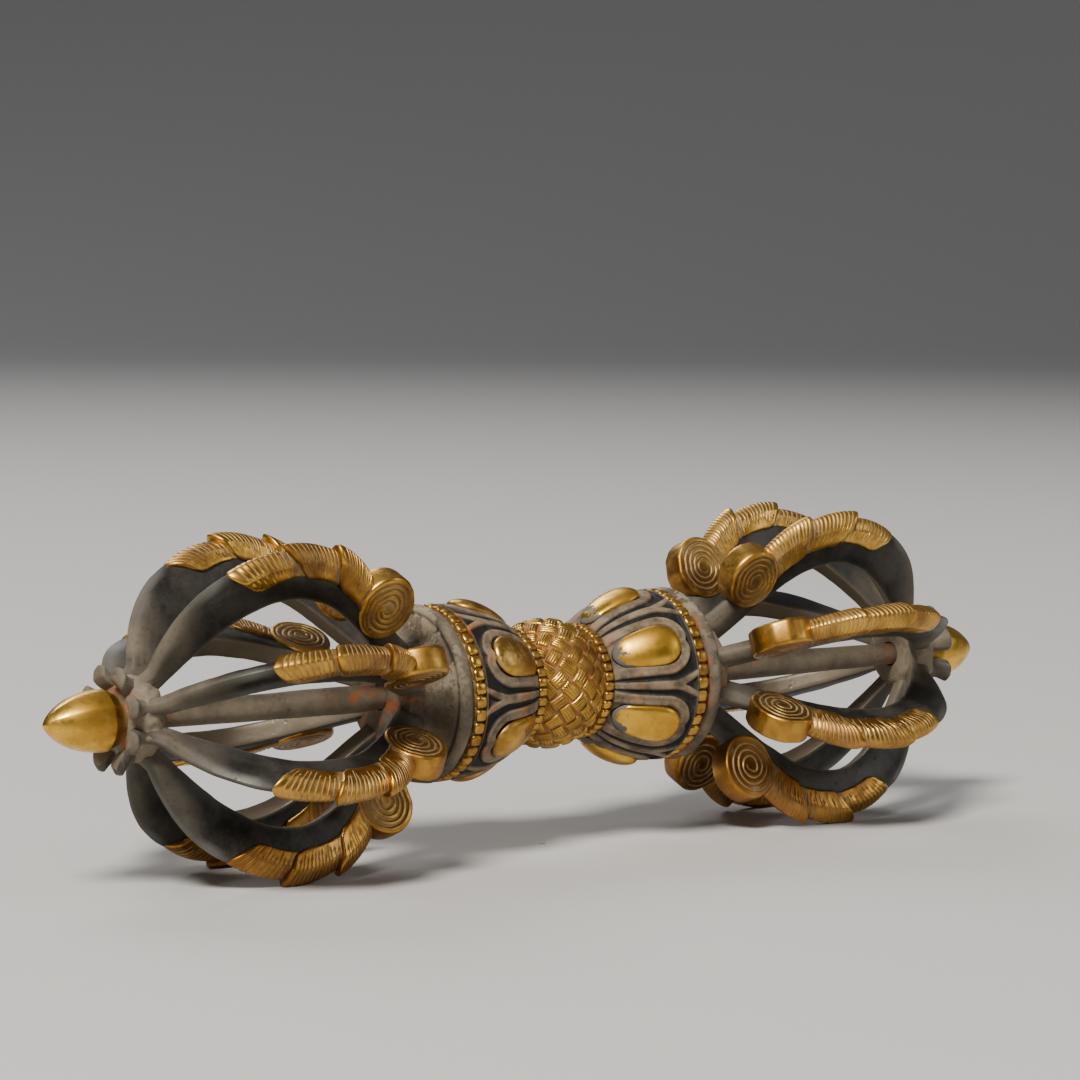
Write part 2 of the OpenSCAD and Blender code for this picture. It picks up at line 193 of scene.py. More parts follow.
# %% Helpers for nodes
def feed(node, inputs):
    """Links outputs to the inputs of a node, and sets plain numbers and colours."""
    for name, value in inputs.items():
        socket = node.inputs[name]
        if isinstance(value, bpy.types.NodeSocket):
            node.id_data.links.new(value, socket)
        else:
            socket.default_value = (*value, 1) if socket.type == "RGBA" else value


def add(tree, kind, inputs=None, output=0, **settings):
    node = tree.nodes.new(kind)
    for name, value in settings.items():
        setattr(node, name, value)
    feed(node, inputs or {})
    return node.outputs[output]


def calc(operation, first, second=0.0, **settings):
    tree = (first if isinstance(first, bpy.types.NodeSocket) else second).id_data
    return add(tree, "ShaderNodeMath", {0: first, 1: second}, operation=operation, **settings)


def times(first, second, operation="MULTIPLY"):
    """A product, or another result of two masks, kept between 0 and 1."""
    return calc(operation, first, second, use_clamp=True)


def between(value, low, high, start=0.0, end=1.0):
    """Goes evenly from low to high while the value goes from start to end."""
    return add(value.id_data, "ShaderNodeMapRange", {0: value, 1: start, 2: end, 3: low, 4: high})


def ramp(value, low, high):
    """Turns a value into a mask that rises from 0 at low to 1 at high."""
    limits = {0: value, 1: low, 2: high}
    return add(value.id_data, "ShaderNodeMapRange", limits, interpolation_type="SMOOTHSTEP")


def noise(place, scale, detail, rough):
    look = {"Vector": place, "Scale": scale, "Detail": detail, "Roughness": rough}
    return add(place.id_data, "ShaderNodeTexNoise", look, "Fac")


def mixed(mask, first, second):
    return add(mask.id_data, "ShaderNodeMix", {0: mask, 6: first, 7: second}, 2, data_type="RGBA")


def new_tree(name, kind, inputs, outputs):
    """A node group with named sockets: the tree, what comes into it and the node that takes its results."""
    tree = bpy.data.node_groups.new(name, kind)
    for way, sockets in (("INPUT", inputs), ("OUTPUT", outputs)):
        for socket, socket_kind in sockets.items():
            tree.interface.new_socket(name=socket, in_out=way, socket_type="NodeSocket" + socket_kind)
    return tree, tree.nodes.new("NodeGroupInput").outputs, tree.nodes.new("NodeGroupOutput")


print("node helpers ready")

# %% [markdown]
# The finishes share three effects, so each is a node group that is built once and used by several materials.
# *Dust and gap shade* lays pale dust in cut lines and in soft patches, and on the bead rings a painted shade
# between the beads. *Rubbed gilding* varies the gold from bright to brown, with a few dark chips. *Cast skin*
# gives the fine unevenness of a casting to a Bump node. A group only gives colours, masks and values. The
# Principled shader stays in each material.

# %% The three shared effects
CHIP_BLACK = (0.03, 0.025, 0.02)

dust_and_gap_shade, given, result = new_tree(
    "Dust and gap shade", "ShaderNodeTree",
    {"Place": "Vector", "Colour": "Color", "Dust": "Color", "Recess": "Float", "Patches": "Float",
     "Patch scale": "Float"},
    {"Colour": "Color", "Mask": "Float"})
place = given["Place"]
soft = ramp(noise(place, given["Patch scale"], 6.0, 0.62), 0.46, 0.72)
grain = ramp(noise(place, 900.0, 3.0, 0.6), 0.3, 0.7)
thin = times(times(soft, grain), given["Patches"])
mask = times(thin, times(given["Recess"], ramp(grain, -0.9, 0.55)), "MAXIMUM")
feed(result, {"Colour": mixed(mask, given["Colour"], given["Dust"]), "Mask": mask})

rubbed_gilding, given, result = new_tree(
    "Rubbed gilding", "ShaderNodeTree",
    {"Place": "Vector", "Bright": "Color", "Brown": "Color", "Brownness": "Float", "Chips": "Float"},
    {"Colour": "Color", "Roughness": "Float"})
place = given["Place"]
streaky = noise(place, 260.0, 4.0, 0.65)
worn = times(ramp(noise(place, 85.0, 5.0, 0.62), 0.36, 0.7), given["Brownness"])
worn = times(worn, times(ramp(streaky, 0.5, 0.75), 0.35), "ADD")
chip = times(ramp(noise(place, 330.0, 5.0, 0.7), 0.69, 0.73), given["Chips"])
rough = between(times(worn, streaky, "ADD"), 0.18, 0.46, 0.2, 1.1)
feed(result, {"Colour": mixed(chip, mixed(worn, given["Bright"], given["Brown"]), CHIP_BLACK),
              "Roughness": times(rough, times(chip, 0.4), "ADD")})

cast_skin, given, result = new_tree(
    "Cast skin", "ShaderNodeTree", {"Place": "Vector", "Grain": "Float", "Pits": "Float"}, {"Height": "Float"})
place = given["Place"]
slow = noise(place, 140.0, 3.0, 0.5)
pit = add(cast_skin, "ShaderNodeTexVoronoi", {"Vector": place, "Scale": 420.0}, "Distance")
pit = times(ramp(pit, 0.32, 0.05), times(given["Pits"], ramp(slow, 0.5, 0.7)))
level = times(times(noise(place, given["Grain"], 6.0, 0.6), 0.35), times(slow, 0.65), "ADD")
feed(result, {"Height": times(level, pit, "SUBTRACT")})
print("node groups:", [g.name for g in bpy.data.node_groups])

# %% [markdown]
# Each material starts in the same way: a Principled shader, the Object coordinates of the piece, and a Bump
# that takes the cast skin. A mask attribute is read by name. A mesh that lacks the mask gives 0, which simply
# means that the piece has no such mark.

# %% Start of a material
def new_material(name, grain, pits, bump_mm):
    material = bpy.data.materials.new(name)
    material.use_nodes = True
    tree = material.node_tree
    place = add(tree, "ShaderNodeTexCoord", output="Object")
    skin = {"Place": place, "Grain": grain, "Pits": pits}
    height = add(tree, "ShaderNodeGroup", skin, "Height", node_tree=cast_skin)
    bump = {"Strength": 0.6, "Distance": bump_mm * MM, "Height": height}
    shader = tree.nodes["Principled BSDF"]
    feed(shader, {"Normal": add(tree, "ShaderNodeBump", bump, "Normal")})
    return material, shader, place


def mask_of(shader, name):
    return add(shader.id_data, "ShaderNodeAttribute", output="Fac", attribute_name=name)


def dusted(place, colour, recess, patches, scale, dust):
    """The colour with dust laid on it, and the mask of the dust. On the bead rings the laid colour is a painted
    shade.
    """
    values = {"Place": place, "Colour": colour, "Recess": recess, "Patches": patches, "Patch scale": scale,
              "Dust": dust}
    outputs = add(place.id_data, "ShaderNodeGroup", values, node_tree=dust_and_gap_shade).node.outputs
    return outputs["Colour"], outputs["Mask"]


print("material helpers ready")

# %% [markdown]
# The gilding is the warm part of the object. On the crests it is brassy and a little brown, with pale dust in
# the chased lines. On the bosses and tips it has been rubbed bright. Masks darken it with tarnish, which on the
# lower crests is also a browner painted shade, and with a painted shade in seams, on the scroll faces and under
# edges. Others bare it where it is worn through and lay red traces on it. Dust, bare places and traces are not
# gold, so their masks also lower the Metallic value and raise the roughness.

# %% Gilded finishes
# The first colour is tarnish, and on the lower crests a painted shade. The second is a painted shade in seams
# and under edges.
TARNISH_AND_SHADE, SEAM_SHADE = (0.31, 0.12, 0.024), (0.075, 0.035, 0.012)
BARE, RED_TRACE = (0.13, 0.12, 0.10), (0.40, 0.105, 0.02)
PALE_DUST, BEAD_GAP_SHADE, RESIDUE = (0.34, 0.275, 0.175), (0.09, 0.07, 0.048), (0.25, 0.125, 0.05)


def gilt_material(name, bright, brown, brownness, chips, patches, bump_mm, dust):
    material, shader, place = new_material(name, grain=620.0, pits=0.25, bump_mm=bump_mm)
    values = {"Place": place, "Bright": bright, "Brown": brown, "Brownness": brownness, "Chips": chips}
    gilding = add(shader.id_data, "ShaderNodeGroup", values, node_tree=rubbed_gilding).node.outputs
    colour = mixed(mask_of(shader, "tarnish_and_shade"), gilding["Colour"], TARNISH_AND_SHADE)
    # The crease mask lays a painted shade in the seam colour on seams between feathers, the scroll faces, the
    # foot of each boss and the base of each tip.
    colour = mixed(mask_of(shader, "crease"), colour, SEAM_SHADE)
    powder = times(mask_of(shader, "powder"), patches, "ADD")
    colour, dull = dusted(place, colour, mask_of(shader, "line"), powder, scale=150.0, dust=dust)
    bare = ramp(times(noise(place, 130.0, 8.0, 0.68), mask_of(shader, "wear"), "ADD"), 0.93, 0.96)
    rust = times(ramp(noise(place, 190.0, 4.0, 0.6), 0.5, 0.6), mask_of(shader, "rust"))
    dull = times(times(dull, bare, "MAXIMUM"), rust, "MAXIMUM")
    feed(shader, {"Base Color": mixed(rust, mixed(bare, colour, BARE), RED_TRACE),
                  "Metallic": times(1.0, dull, "SUBTRACT"),
                  "Roughness": times(gilding["Roughness"], times(dull, 0.4), "ADD")})
    return material


# Bright and brown gold, then how much of it is brown, chipped and dusty, the bump in millimetres and the colour
# laid in lines: dust, residue on the ball and a painted shade between the beads.
crest_gold, boss_gold, dull_gold, tip_gold, bead_gold, ball_gold = (gilt_material(*values) for values in (
    ("crest_gold", (0.69, 0.395, 0.075), (0.26, 0.115, 0.024), 1.0, 0.5, 0.25, 0.12, PALE_DUST),
    ("boss_gold", (0.84, 0.50, 0.065), (0.46, 0.22, 0.025), 0.7, 1.0, 0.06, 0.08, PALE_DUST),
    ("dull_gold", (0.60, 0.35, 0.065), (0.27, 0.13, 0.024), 1.0, 0.8, 0.6, 0.12, PALE_DUST),
    ("tip_gold", (0.84, 0.51, 0.08), (0.38, 0.17, 0.025), 0.7, 0.8, 0.08, 0.08, PALE_DUST),
    ("bead_gold", (0.62, 0.36, 0.07), (0.24, 0.11, 0.022), 1.0, 0.6, 0.45, 0.12, BEAD_GAP_SHADE),
    ("ball_gold", (0.56, 0.325, 0.06), (0.20, 0.09, 0.02), 1.0, 0.4, 0.4, 0.12, RESIDUE)))
print("gilded finishes:", [m.name for m in bpy.data.materials if m.name.endswith("gold")])

# %% [markdown]
# The bars are darkened brass, almost black on their sides. Their inner faces, which point at the rod, were
# never blackened as deeply and are the colour of dry clay. The mask *inner* marks them. The mask *braze* marks
# the dusty places beside the neck and the collar. The lotus is black in its grooves, and its ridges are worn to
# a pale brown with red traces. The rod, the root plates and the collars are matt and dusty.

# %% Dark and dusty finishes
def patina_material(name):
    material, shader, place = new_material(name, grain=520.0, pits=0.8, bump_mm=0.3)
    clouds = ramp(noise(place, 80.0, 7.0, 0.65), 0.36, 0.66)
    tone = mixed(clouds, (0.012, 0.0115, 0.010), (0.050, 0.046, 0.038))
    # This mask lightens worn inner edges and dust beside the crest, and paints a highlight along the ridge of
    # the back.
    tone = mixed(mask_of(shader, "edge"), tone, (0.15, 0.145, 0.125))
    clay = mixed(noise(place, 120.0, 5.0, 0.6), (0.125, 0.10, 0.068), (0.23, 0.188, 0.13))
    tone = mixed(mask_of(shader, "inner"), tone, clay)
    colour, dust = dusted(place, tone, mask_of(shader, "braze"), patches=0.2, scale=90.0,
                          dust=(0.185, 0.151, 0.107))
    feed(shader, {"Base Color": colour, "Specular IOR Level": 0.35, "Roughness": between(dust, 0.44, 0.9),
                  "Metallic": times(times(1.0, dust, "SUBTRACT"), 0.35)})
    return material


def clay_material(name, slate_share, dark, pale):
    material, shader, place = new_material(name, grain=480.0, pits=1.0, bump_mm=0.5)
    tone = mixed(ramp(noise(place, 120.0, 8.0, 0.7), 0.34, 0.66), dark, pale)
    slate = times(ramp(noise(place, 70.0, 7.0, 0.66), 0.48, 0.68), slate_share)
    rust = times(ramp(noise(place, 330.0, 5.0, 0.65), 0.47, 0.6), mask_of(shader, "rust"))
    # The crease colour is a painted shade, laid in the groove of the root plate.
    for mask, paint in ((slate, (0.038, 0.041, 0.042)), (mask_of(shader, "crease"), (0.022, 0.02, 0.018)),
                        (mask_of(shader, "sand"), (0.215, 0.175, 0.122)), (rust, (0.36, 0.085, 0.016))):
        tone = mixed(mask, tone, paint)
    flake = times(ramp(noise(place, 170.0, 6.0, 0.66), 0.52, 0.56), mask_of(shader, "flake"))
    colour, dust = dusted(place, tone, flake, patches=0.3, scale=130.0, dust=(0.30, 0.255, 0.175))
    feed(shader, {"Base Color": colour, "Specular IOR Level": 0.2, "Roughness": between(dust, 0.62, 0.9)})
    return material


def lotus_material(name):
    material, shader, place = new_material(name, grain=600.0, pits=0.6, bump_mm=0.45)
    black = mixed(noise(place, 150.0, 4.0, 0.6), (0.005, 0.005, 0.005), (0.017, 0.017, 0.017))
    worn = ramp(noise(place, 230.0, 7.0, 0.68), 0.3, 0.68)
    rust = times(ramp(noise(place, 130.0, 6.0, 0.66), 0.5, 0.74), mask_of(shader, "rust"))
    ridge = mixed(rust, mixed(worn, (0.075, 0.054, 0.034), (0.265, 0.20, 0.13)), (0.40, 0.12, 0.025))
    tone = mixed(mask_of(shader, "ridge"), black, ridge)
    colour, dust = dusted(place, tone, recess=0.0, patches=0.22, scale=170.0, dust=(0.27, 0.225, 0.155))
    feed(shader, {"Base Color": colour, "Specular IOR Level": 0.25, "Roughness": between(dust, 0.6, 0.88)})
    return material


bar_patina, lotus_field = patina_material("bar_patina"), lotus_material("lotus_field")
dry_clay = clay_material("dry_clay", slate_share=0.55, dark=(0.075, 0.058, 0.038), pale=(0.185, 0.148, 0.099))
rod_clay = clay_material("rod_clay", slate_share=0.1, dark=(0.115, 0.092, 0.063), pale=(0.195, 0.157, 0.108))
print("materials:", len(bpy.data.materials))

# %% [markdown]
# A prong bar is a ruled sweep. Its inner edge and its outer edge are two smooth curves in the plane of the
# prong, made of cubic pieces: the root in the neck, the rise to the widest place, the fall to the collar and
# the little nub that turns out again and flares like an ear. Building it from the same curves as the CAD bar
# keeps it in its slots.

# %% The two edges of a prong bar
NECK_R, ROOT_FLOOR, END_FLOOR = 13.5, 9.0, 6.5
BOW_X, BOW_IN, BOW_OUT = 88.0, 31.4, 41.8
FOOT_DEPTH, WAIST_DEPTH, NUB_R, NUB_DEPTH = 7.5, 7.7, 14.0, 3.8
ROOT_W, BOW_W, WAIST_W, EAR_W = 5.2, 6.0, 4.0, 5.7
BAR_STEPS = (4, 30, 36, 18)


def curve(a, b, c, d, t):
    """Points of a cubic curve that leaves a towards b and comes to d from c."""
    a, b, c, d = (np.asarray(p, float) for p in (a, b, c, d))
    t = np.asarray(t)[:, None]
    return (1 - t) ** 3 * a + 3 * (1 - t) ** 2 * t * b + 3 * (1 - t) * t * t * c + t ** 3 * d


def bar_edges():
    bow, climb = BOW_X - CAGE, BOW_IN - ROOT_FLOOR
    stem = np.array([0.3 * bow, 0.36 * climb])
    way = stem / np.linalg.norm(stem)
    foot_in = np.array([CAGE, ROOT_FLOOR])
    foot_out = foot_in + FOOT_DEPTH * np.array([-way[1], way[0]])
    bow_in, bow_out = np.array([BOW_X, BOW_IN]), np.array([BOW_X, BOW_OUT])
    waist_in = np.array([COLLAR + 2.0, END_FLOOR])
    waist_out = np.array([COLLAR + 3.3, END_FLOOR + WAIST_DEPTH])
    long_in, long_out = waist_in[0] - BOW_X, waist_out[0] - BOW_X
    fall_in, fall_out = BOW_IN - END_FLOOR, BOW_OUT - END_FLOOR
    root, up, down, nub = (np.linspace(0, 1, n, endpoint=False) for n in BAR_STEPS)
    nub = np.append(nub, 1.0)
    inner = [
        curve([CAGE - 7, ROOT_FLOOR], [CAGE - 5, ROOT_FLOOR], [CAGE - 2, ROOT_FLOOR], foot_in, root),
        curve(foot_in, foot_in + stem, bow_in - [0.45 * bow, 0], bow_in, up),
        curve(bow_in, bow_in + [0.45 * long_in, 0],
              waist_in + [-0.16 * long_in, 0.25 * fall_in], waist_in, down),
        curve(waist_in, waist_in + [3, 0], [TIP, END_FLOOR], [TIP + 2, NUB_R - NUB_DEPTH], nub)]
    outer = [
        curve([CAGE - 7, NECK_R], [CAGE - 6.5, NECK_R], [CAGE - 5.5, NECK_R + 0.5], foot_out, root),
        curve(foot_out, foot_out + 0.44 * bow * way, bow_out - [0.42 * bow, 0], bow_out, up),
        curve(bow_out, bow_out + [0.5 * long_out, 0.02 * fall_out],
              waist_out + [-0.1 * long_out, 0.56 * fall_out], waist_out, down),
        curve(waist_out, [COLLAR + 5.5, END_FLOOR + 3.96],
              [COLLAR + 8, END_FLOOR + 3.3], [TIP + 0.8, NUB_R], nub)]
    ear = rise(nub, 0.54, 0.99)
    width = [np.full(len(root), ROOT_W), ROOT_W + (BOW_W - ROOT_W) * up, BOW_W + (WAIST_W - BOW_W) * down,
             WAIST_W + (EAR_W - WAIST_W) * ear]
    return np.concatenate(inner), np.concatenate(outer), np.concatenate(width)


inner_edge, outer_edge, bar_width = bar_edges()
print("bar sections:", len(bar_width))

# %% [markdown]
# The cross-section is a short list: a share of the depth and a share of the half width. The inner face is flat
# with crisp edges, and the back rises to a soft ridge. Each bar gets its own gentle unevenness from its own
# seed, and the nub at the end is closed with a few shrinking rings.

# %% The sixteen prong bars
HALF_SECTION = [(0, 0), (0, 0.4), (0, 0.7), (0.012, 0.85), (0.05, 0.95), (0.12, 1), (0.3, 1.0), (0.5, 1.0),
                (0.64, 0.97), (0.74, 0.87), (0.83, 0.7), (0.91, 0.46), (0.965, 0.23), (1, 0.07)]
NUB_WAY, BAR_SEED, CREST_TIP_X = np.array([0.75, 0, 0.66]), 100, 110
NUB_RINGS = ((0.93, 0.35), (0.75, 0.7), (0.45, 0.95), (0.1, 1.05))
# Less braze dust shows on the lower prongs, which also leaves them darker as a painted shade: heights, and the
# shares that are left there.
BRAZE_AND_SHADE_Z, BRAZE_AND_SHADE_SHARE = (-14, 6), (0.35, 1)


def bar_shell(seed):
    section = np.array(HALF_SECTION + [(f, -h) for f, h in HALF_SECTION[:0:-1]])
    across = inner_edge[:, None] + section[:, :1] * (outer_edge - inner_edge)[:, None]
    points = grid(across[..., 0], section[:, 1] * bar_width[:, None] / 2, across[..., 1])
    middle = points.mean(1, keepdims=True)
    rings = [middle[:1] + (points[:1] - middle[:1]) * 0.5, points]
    rings += [middle[-1:] + (points[-1:] - middle[-1:]) * grow + NUB_WAY * push for grow, push in NUB_RINGS]
    points = np.concatenate(rings)
    rows, columns = points.shape[:2]
    x = points[..., 0].mean(1)
    push = (points - points.mean(1, keepdims=True)).reshape(-1, 3)
    push /= np.linalg.norm(push, axis=1, keepdims=True) + TINY
    flat = points.reshape(-1, 3)
    free = np.repeat(rise(x, CAGE + 4, CAGE + 10), columns)
    flat = flat + push * (free * (0.13 * ripple(flat, 11, seed) + 0.07 * ripple(flat, 4, seed + 50)))[:, None]
    share, side = np.abs(np.tile(section, (rows, 1))).T
    beside_crest = np.repeat(near(x, CREST_TIP_X, 3), columns) * (share > 0.85)
    # Worn inner edges, a painted highlight along the ridge of the back, and pale dust beside the crest tip.
    edge = 0.4 * ((share > 0.02) & (share < 0.06)) + 0.3 * (share > 0.95) + 0.6 * beside_crest
    near_ends = np.repeat(rise(x, CAGE + 8, CAGE) + rise(x, COLLAR - 9, COLLAR + 1), columns)
    masks = {"inner": (share < 0.03) * (side < 0.9), "edge": np.clip(edge, 0, 0.8),
             "braze": np.clip(near_ends * (0.8 + 0.4 * ripple(flat, 7, seed + 9)), 0, 1)}
    return flat, flipped(tube_faces(rows, columns)), masks


for end, side in ENDS.items():
    for number in range(1, PRONGS + 1):
        points, faces, masks = bar_shell(BAR_SEED + number + 20 * side)
        points = at_prong(points, side, number)
        masks["braze"] = masks["braze"] * np.interp(points[:, 2], BRAZE_AND_SHADE_Z, BRAZE_AND_SHADE_SHARE)
        mesh = plain_mesh("bar", points, outward(faces, side), masks)
        finish_piece(f"prong_bar_{end}_{number}", mesh, f"{end}_bar_{number}", bar_patina)
print("bars made, faces in one:", len(faces))

# %% [markdown]
# The crest on a bar is three overlapping feathers. Each feather is an arc with a ridged back, leaning outwards
# to a free edge that points at the tip. Fine lines are chased across it. To cut them cheaply, the rings of the
# sweep are placed where the lines are: five rings go down into a line and up again, and one lies between two
# lines. So the mesh is dense only where something happens, and the lines are real cuts that catch dust.

# %% The section and the chased lines of a feather
CREST_W, CREST_COVER, RIDGE = 7.2, 8.4, 1.3
HALF_W = CREST_W / 2
NOSE, CUT = 1.7, 0.23
LINE_CUT = ((-0.25, 0.0), (-0.13, 0.75), (0.0, 1.0), (0.13, 0.75), (0.25, 0.0))
LINE_PITCH = {1: 1.6, 2: 1.42, 3: 1.22}


def feather_section():
    """The section as (depth below the crown, distance from the middle)."""
    sides = [(CREST_COVER, 2.4), (CREST_COVER, 3.25), (CREST_COVER - 0.2, 3.5)]
    sides += [(depth, HALF_W) for depth in np.arange(CREST_COVER - 0.7, HALF_W + 0.3, -0.75)]
    turn = np.radians(np.linspace(0, 82, 8))
    half = sides + list(zip(HALF_W - HALF_W * np.sin(turn) ** RIDGE, HALF_W * np.cos(turn) ** RIDGE))
    return np.array([(d, -w) for d, w in half] + [(0.0, 0.0)] + [(d, w) for d, w in half[::-1]])


def feather_lines(length, pitch, rng):
    """Stations along a feather: where a ring lies, how deep it is cut, how it leans and how far it reaches."""
    rows, step = [(0.0, 0.0, 0.0, 1.0), (1.5, 0.0, 0.0, 1.0)], 0.0
    place = 3.0 + rng.uniform(-0.2, 0.2)
    while place < length - NOSE - 0.8:
        deep, lean, reach = rng.uniform(0.7, 1.15), rng.normal() * 0.7, rng.uniform(0.55, 0.92)
        if step:
            rows.append((place - step / 2, -0.06, lean, reach))
        rows += [(place + off, share * deep, lean, reach) for off, share in LINE_CUT]
        step = pitch + rng.uniform(-0.12, 0.12)
        place += step
    return np.array(rows + [(length - NOSE - 0.3, 0.0, 0.0, 1.0), (length - NOSE, 0.0, 0.0, 1.0)])


print("points in one ring of a feather:", len(feather_section()))

# %% [markdown]
# A feather is that section swept along its arc. It swells towards its free edge and ends in a rounded nose. Its
# masks say where dust lies in the lines, where powder gathers beside the next feather or the scroll, and where a
# painted shade darkens the seam beside it and the lower edge of its cheeks.

# %% One feather of a crest
ARC_CENTRE, ARC_R, LEAN, STEP = np.array([87.0, 14.0]), 32.0, 1.3, 0.7
CREST_END, FEATHER_ANGLE, OVERLAP, TILT = 50.0, 29.5, 15.0, 6
SCROLL_C, SCROLL_R, SCROLL_W = np.array([59.35, 28.0]), 8.5, 7.6
NOSE_SHARES, NOSE_POWER = np.array([0.3, 0.55, 0.75, 0.9, 0.98, 1.0]), 2.4


def feather_shell(number, slants, rng):
    end = CREST_END + FEATHER_ANGLE * (number - 1) + rng.uniform(0, 0.8)
    start = CREST_END + FEATHER_ANGLE * number + OVERLAP
    middle = math.radians((start + end) / 2)
    crown = ARC_R + STEP * (number - 2)
    centre = ARC_CENTRE + LEAN * np.array([math.sin(middle), -math.cos(middle)])
    length = math.radians(start - end) * crown
    section, hub = feather_section(), np.array([4.3, 0.0])
    stations, cut, lean, reach = feather_lines(length, LINE_PITCH[number], rng).T
    # The rings: cut, swollen, and shrunk over the nose.
    fade = np.clip(reach[:, None] * CREST_COVER - section[:, 0], 0, 1)
    out = (section - hub) / (np.linalg.norm(section - hub, axis=1, keepdims=True) + TINY)
    swell = 0.95 * stations / length + 0.15 * np.sin(math.pi * stations / length) - 1.0
    shape = section + out * (swell[:, None] - CUT * cut[:, None] * fade)[..., None]
    push = NOSE * NOSE_SHARES
    grow = (1 - 0.998 * (push / NOSE) ** NOSE_POWER) ** (1 / NOSE_POWER)
    shape = np.vstack([shape, hub + (shape[-1] - hub) * grow[:, None, None]])
    stations, lean = np.append(stations, stations[-1] + push), np.append(lean, 0 * push)
    # The cheeks reach down over the bar, and the rings are laid along the arc.
    share = np.clip(stations / length, 0, 1)
    spine = math.radians(start) - stations / crown
    ridge = centre + crown * np.stack([np.cos(spine), np.sin(spine)], -1)
    cover = CREST_COVER + np.linalg.norm(ridge - ARC_CENTRE, axis=1) - ARC_R
    cover -= 0.5 * rise(share, 0.3, 0) + 2.2 * rise(share, 0.78, 1) ** 2
    depth, y = shape[..., 0], shape[..., 1]
    cheek = (cover - HALF_W) / (CREST_COVER - HALF_W)
    depth = np.where(depth > HALF_W, HALF_W + (depth - HALF_W) * cheek[:, None], depth)
    slant = np.radians(TILT + lean + slants[number - 1] * share ** 3)[:, None]
    angle = spine[:, None] + slant * depth / CREST_COVER
    x, z = centre[0] + (crown - depth) * np.cos(angle), centre[1] + (crown - depth) * np.sin(angle)
    # The masks: dust in the lines, powder, and a painted shade along the seam beside the neighbour and the lower
    # edge.
    dust = np.zeros(x.shape)
    worn = 0.65 + 0.35 * rise(section[:, 0], 0, 2.5)
    dust[:len(cut)] = np.clip(cut, 0, 1)[:, None] ** 1.2 * fade * worn
    if number < 3:
        next_edge = math.radians(CREST_END + FEATHER_ANGLE * number + 0.4)
        gap = crown * (next_edge + math.radians(TILT + slants[number]) * depth / CREST_COVER - angle)
    else:
        gap = np.hypot(x - SCROLL_C[0], z - SCROLL_C[1]) - SCROLL_R
    dust = np.maximum(dust, rng.uniform(0.1, 0.5) * rise(gap, 0.5, 0))
    powder = rng.uniform(0.3, 1.0) * rise(gap, 2.6, 0)
    # A painted shade on the lower edge of the cheeks and along the seam beside the neighbour.
    seam_shade = 0.6 * rise(section[:, 0], CREST_COVER - 1.2, CREST_COVER) + 0.7 * rise(np.abs(gap + 0.3), 0.7, 0)
    masks = {"line": np.clip(dust, 0, 0.9), "crease": np.clip(seam_shade, 0, 0.8), "powder": powder}
    return grid(x, y, z).reshape(-1, 3), tube_faces(*x.shape), masks


tried = feather_shell(1, [6, 6, 6], np.random.default_rng(1))
print("points in one feather:", len(tried[0]))

# %% [markdown]
# The scroll at the root of a crest is a thick round disc with a spiral cut into both faces. Each face is a
# polar grid, and the cut is a function of the distance to the nearest turn of the spiral. The eye and the rim
# stay plain, the edge is rounded off, and a few hammered flats keep the disc from being a true circle.

# %% The scroll with its spiral
SPOKES, EYE_R, SPIRAL_R, SPIRAL_W, SPIRAL_DEEP, DOME = 104, 1.3, SCROLL_R - 1.55, 0.23, 0.3, 0.45
# Dust and a painted shade on the faces: radii, and the shares there.
DUST_AND_SHADE_R, DUST_AND_SHADE_SHARE = (0, 1.5, 7.2, 7.9, 8.5), (0.8, 0.5, 0.45, 0.0, 0.0)


def circle(count):
    """Angles of points that are evenly spread round a circle."""
    return np.linspace(0, math.tau, count, endpoint=False)


def scroll_shell(rng):
    pitch = 1.6 + rng.uniform(-0.1, 0.1)
    around = circle(SPOKES)
    rim = SCROLL_R - np.array([0.8, 0.5, 0.25, 0.08, 0.0])
    radii = np.hstack([0.1, np.arange(0.35, SCROLL_R - 0.9, 0.14), rim])
    drop = np.interp(radii, np.append(0, rim), [0, 0, 0.1, 0.3, 0.6, 1.1])
    turn = (SPIRAL_R - radii[:, None]) / pitch - (around - math.radians(40)) / math.tau
    turn = turn + 0.09 * np.sin(3 * around + 5) * np.sin(radii)[:, None]
    distance = np.abs(turn - np.round(turn)) * pitch
    ends = rise(radii, EYE_R, EYE_R + 0.3) * rise(radii, SPIRAL_R + 0.3, SPIRAL_R)
    cut = np.exp(-(distance / SPIRAL_W) ** 2) * ends[:, None]
    dome = DOME * (1 - (radii / SCROLL_R) ** 2)[:, None]
    half = SCROLL_W / 2 - DOME + dome - drop[:, None] - SPIRAL_DEEP * cut
    oval = rng.uniform(0.97, 1.03) * np.stack([0.96 * np.cos(around), 1.05 * np.sin(around)], -1)
    flats, kept = rng.uniform(0, math.tau, 6), rng.uniform(0.952, 0.985, 6)
    hammered = (kept[:, None] / np.clip(np.cos(around - flats[:, None]), 0.5, 1)).min(0)
    wobble = np.minimum(0.985 + 0.015 * np.sin(around * 2 + rng.uniform(0, 6)), hammered)
    middle = SCROLL_C + rng.uniform(-0.6, 0.6, 2)
    flat = middle + radii[:, None, None] * oval * wobble[:, None]
    front, back = (grid(flat[..., 0], y, flat[..., 1]) for y in (-half, half))
    points = np.vstack([front, back[::-1]])
    face = np.interp(radii, DUST_AND_SHADE_R, DUST_AND_SHADE_SHARE)[:, None]
    face = np.broadcast_to(face, cut.shape)
    # On the faces the crease mask is a painted shade and the powder mask is dust.
    masks = {"line": 0.6 * cut, "crease": face, "powder": 1.1 * face}
    masks = {name: np.vstack([mask, mask[::-1]]) for name, mask in masks.items()}
    return points.reshape(-1, 3), tube_faces(len(points), SPOKES), masks


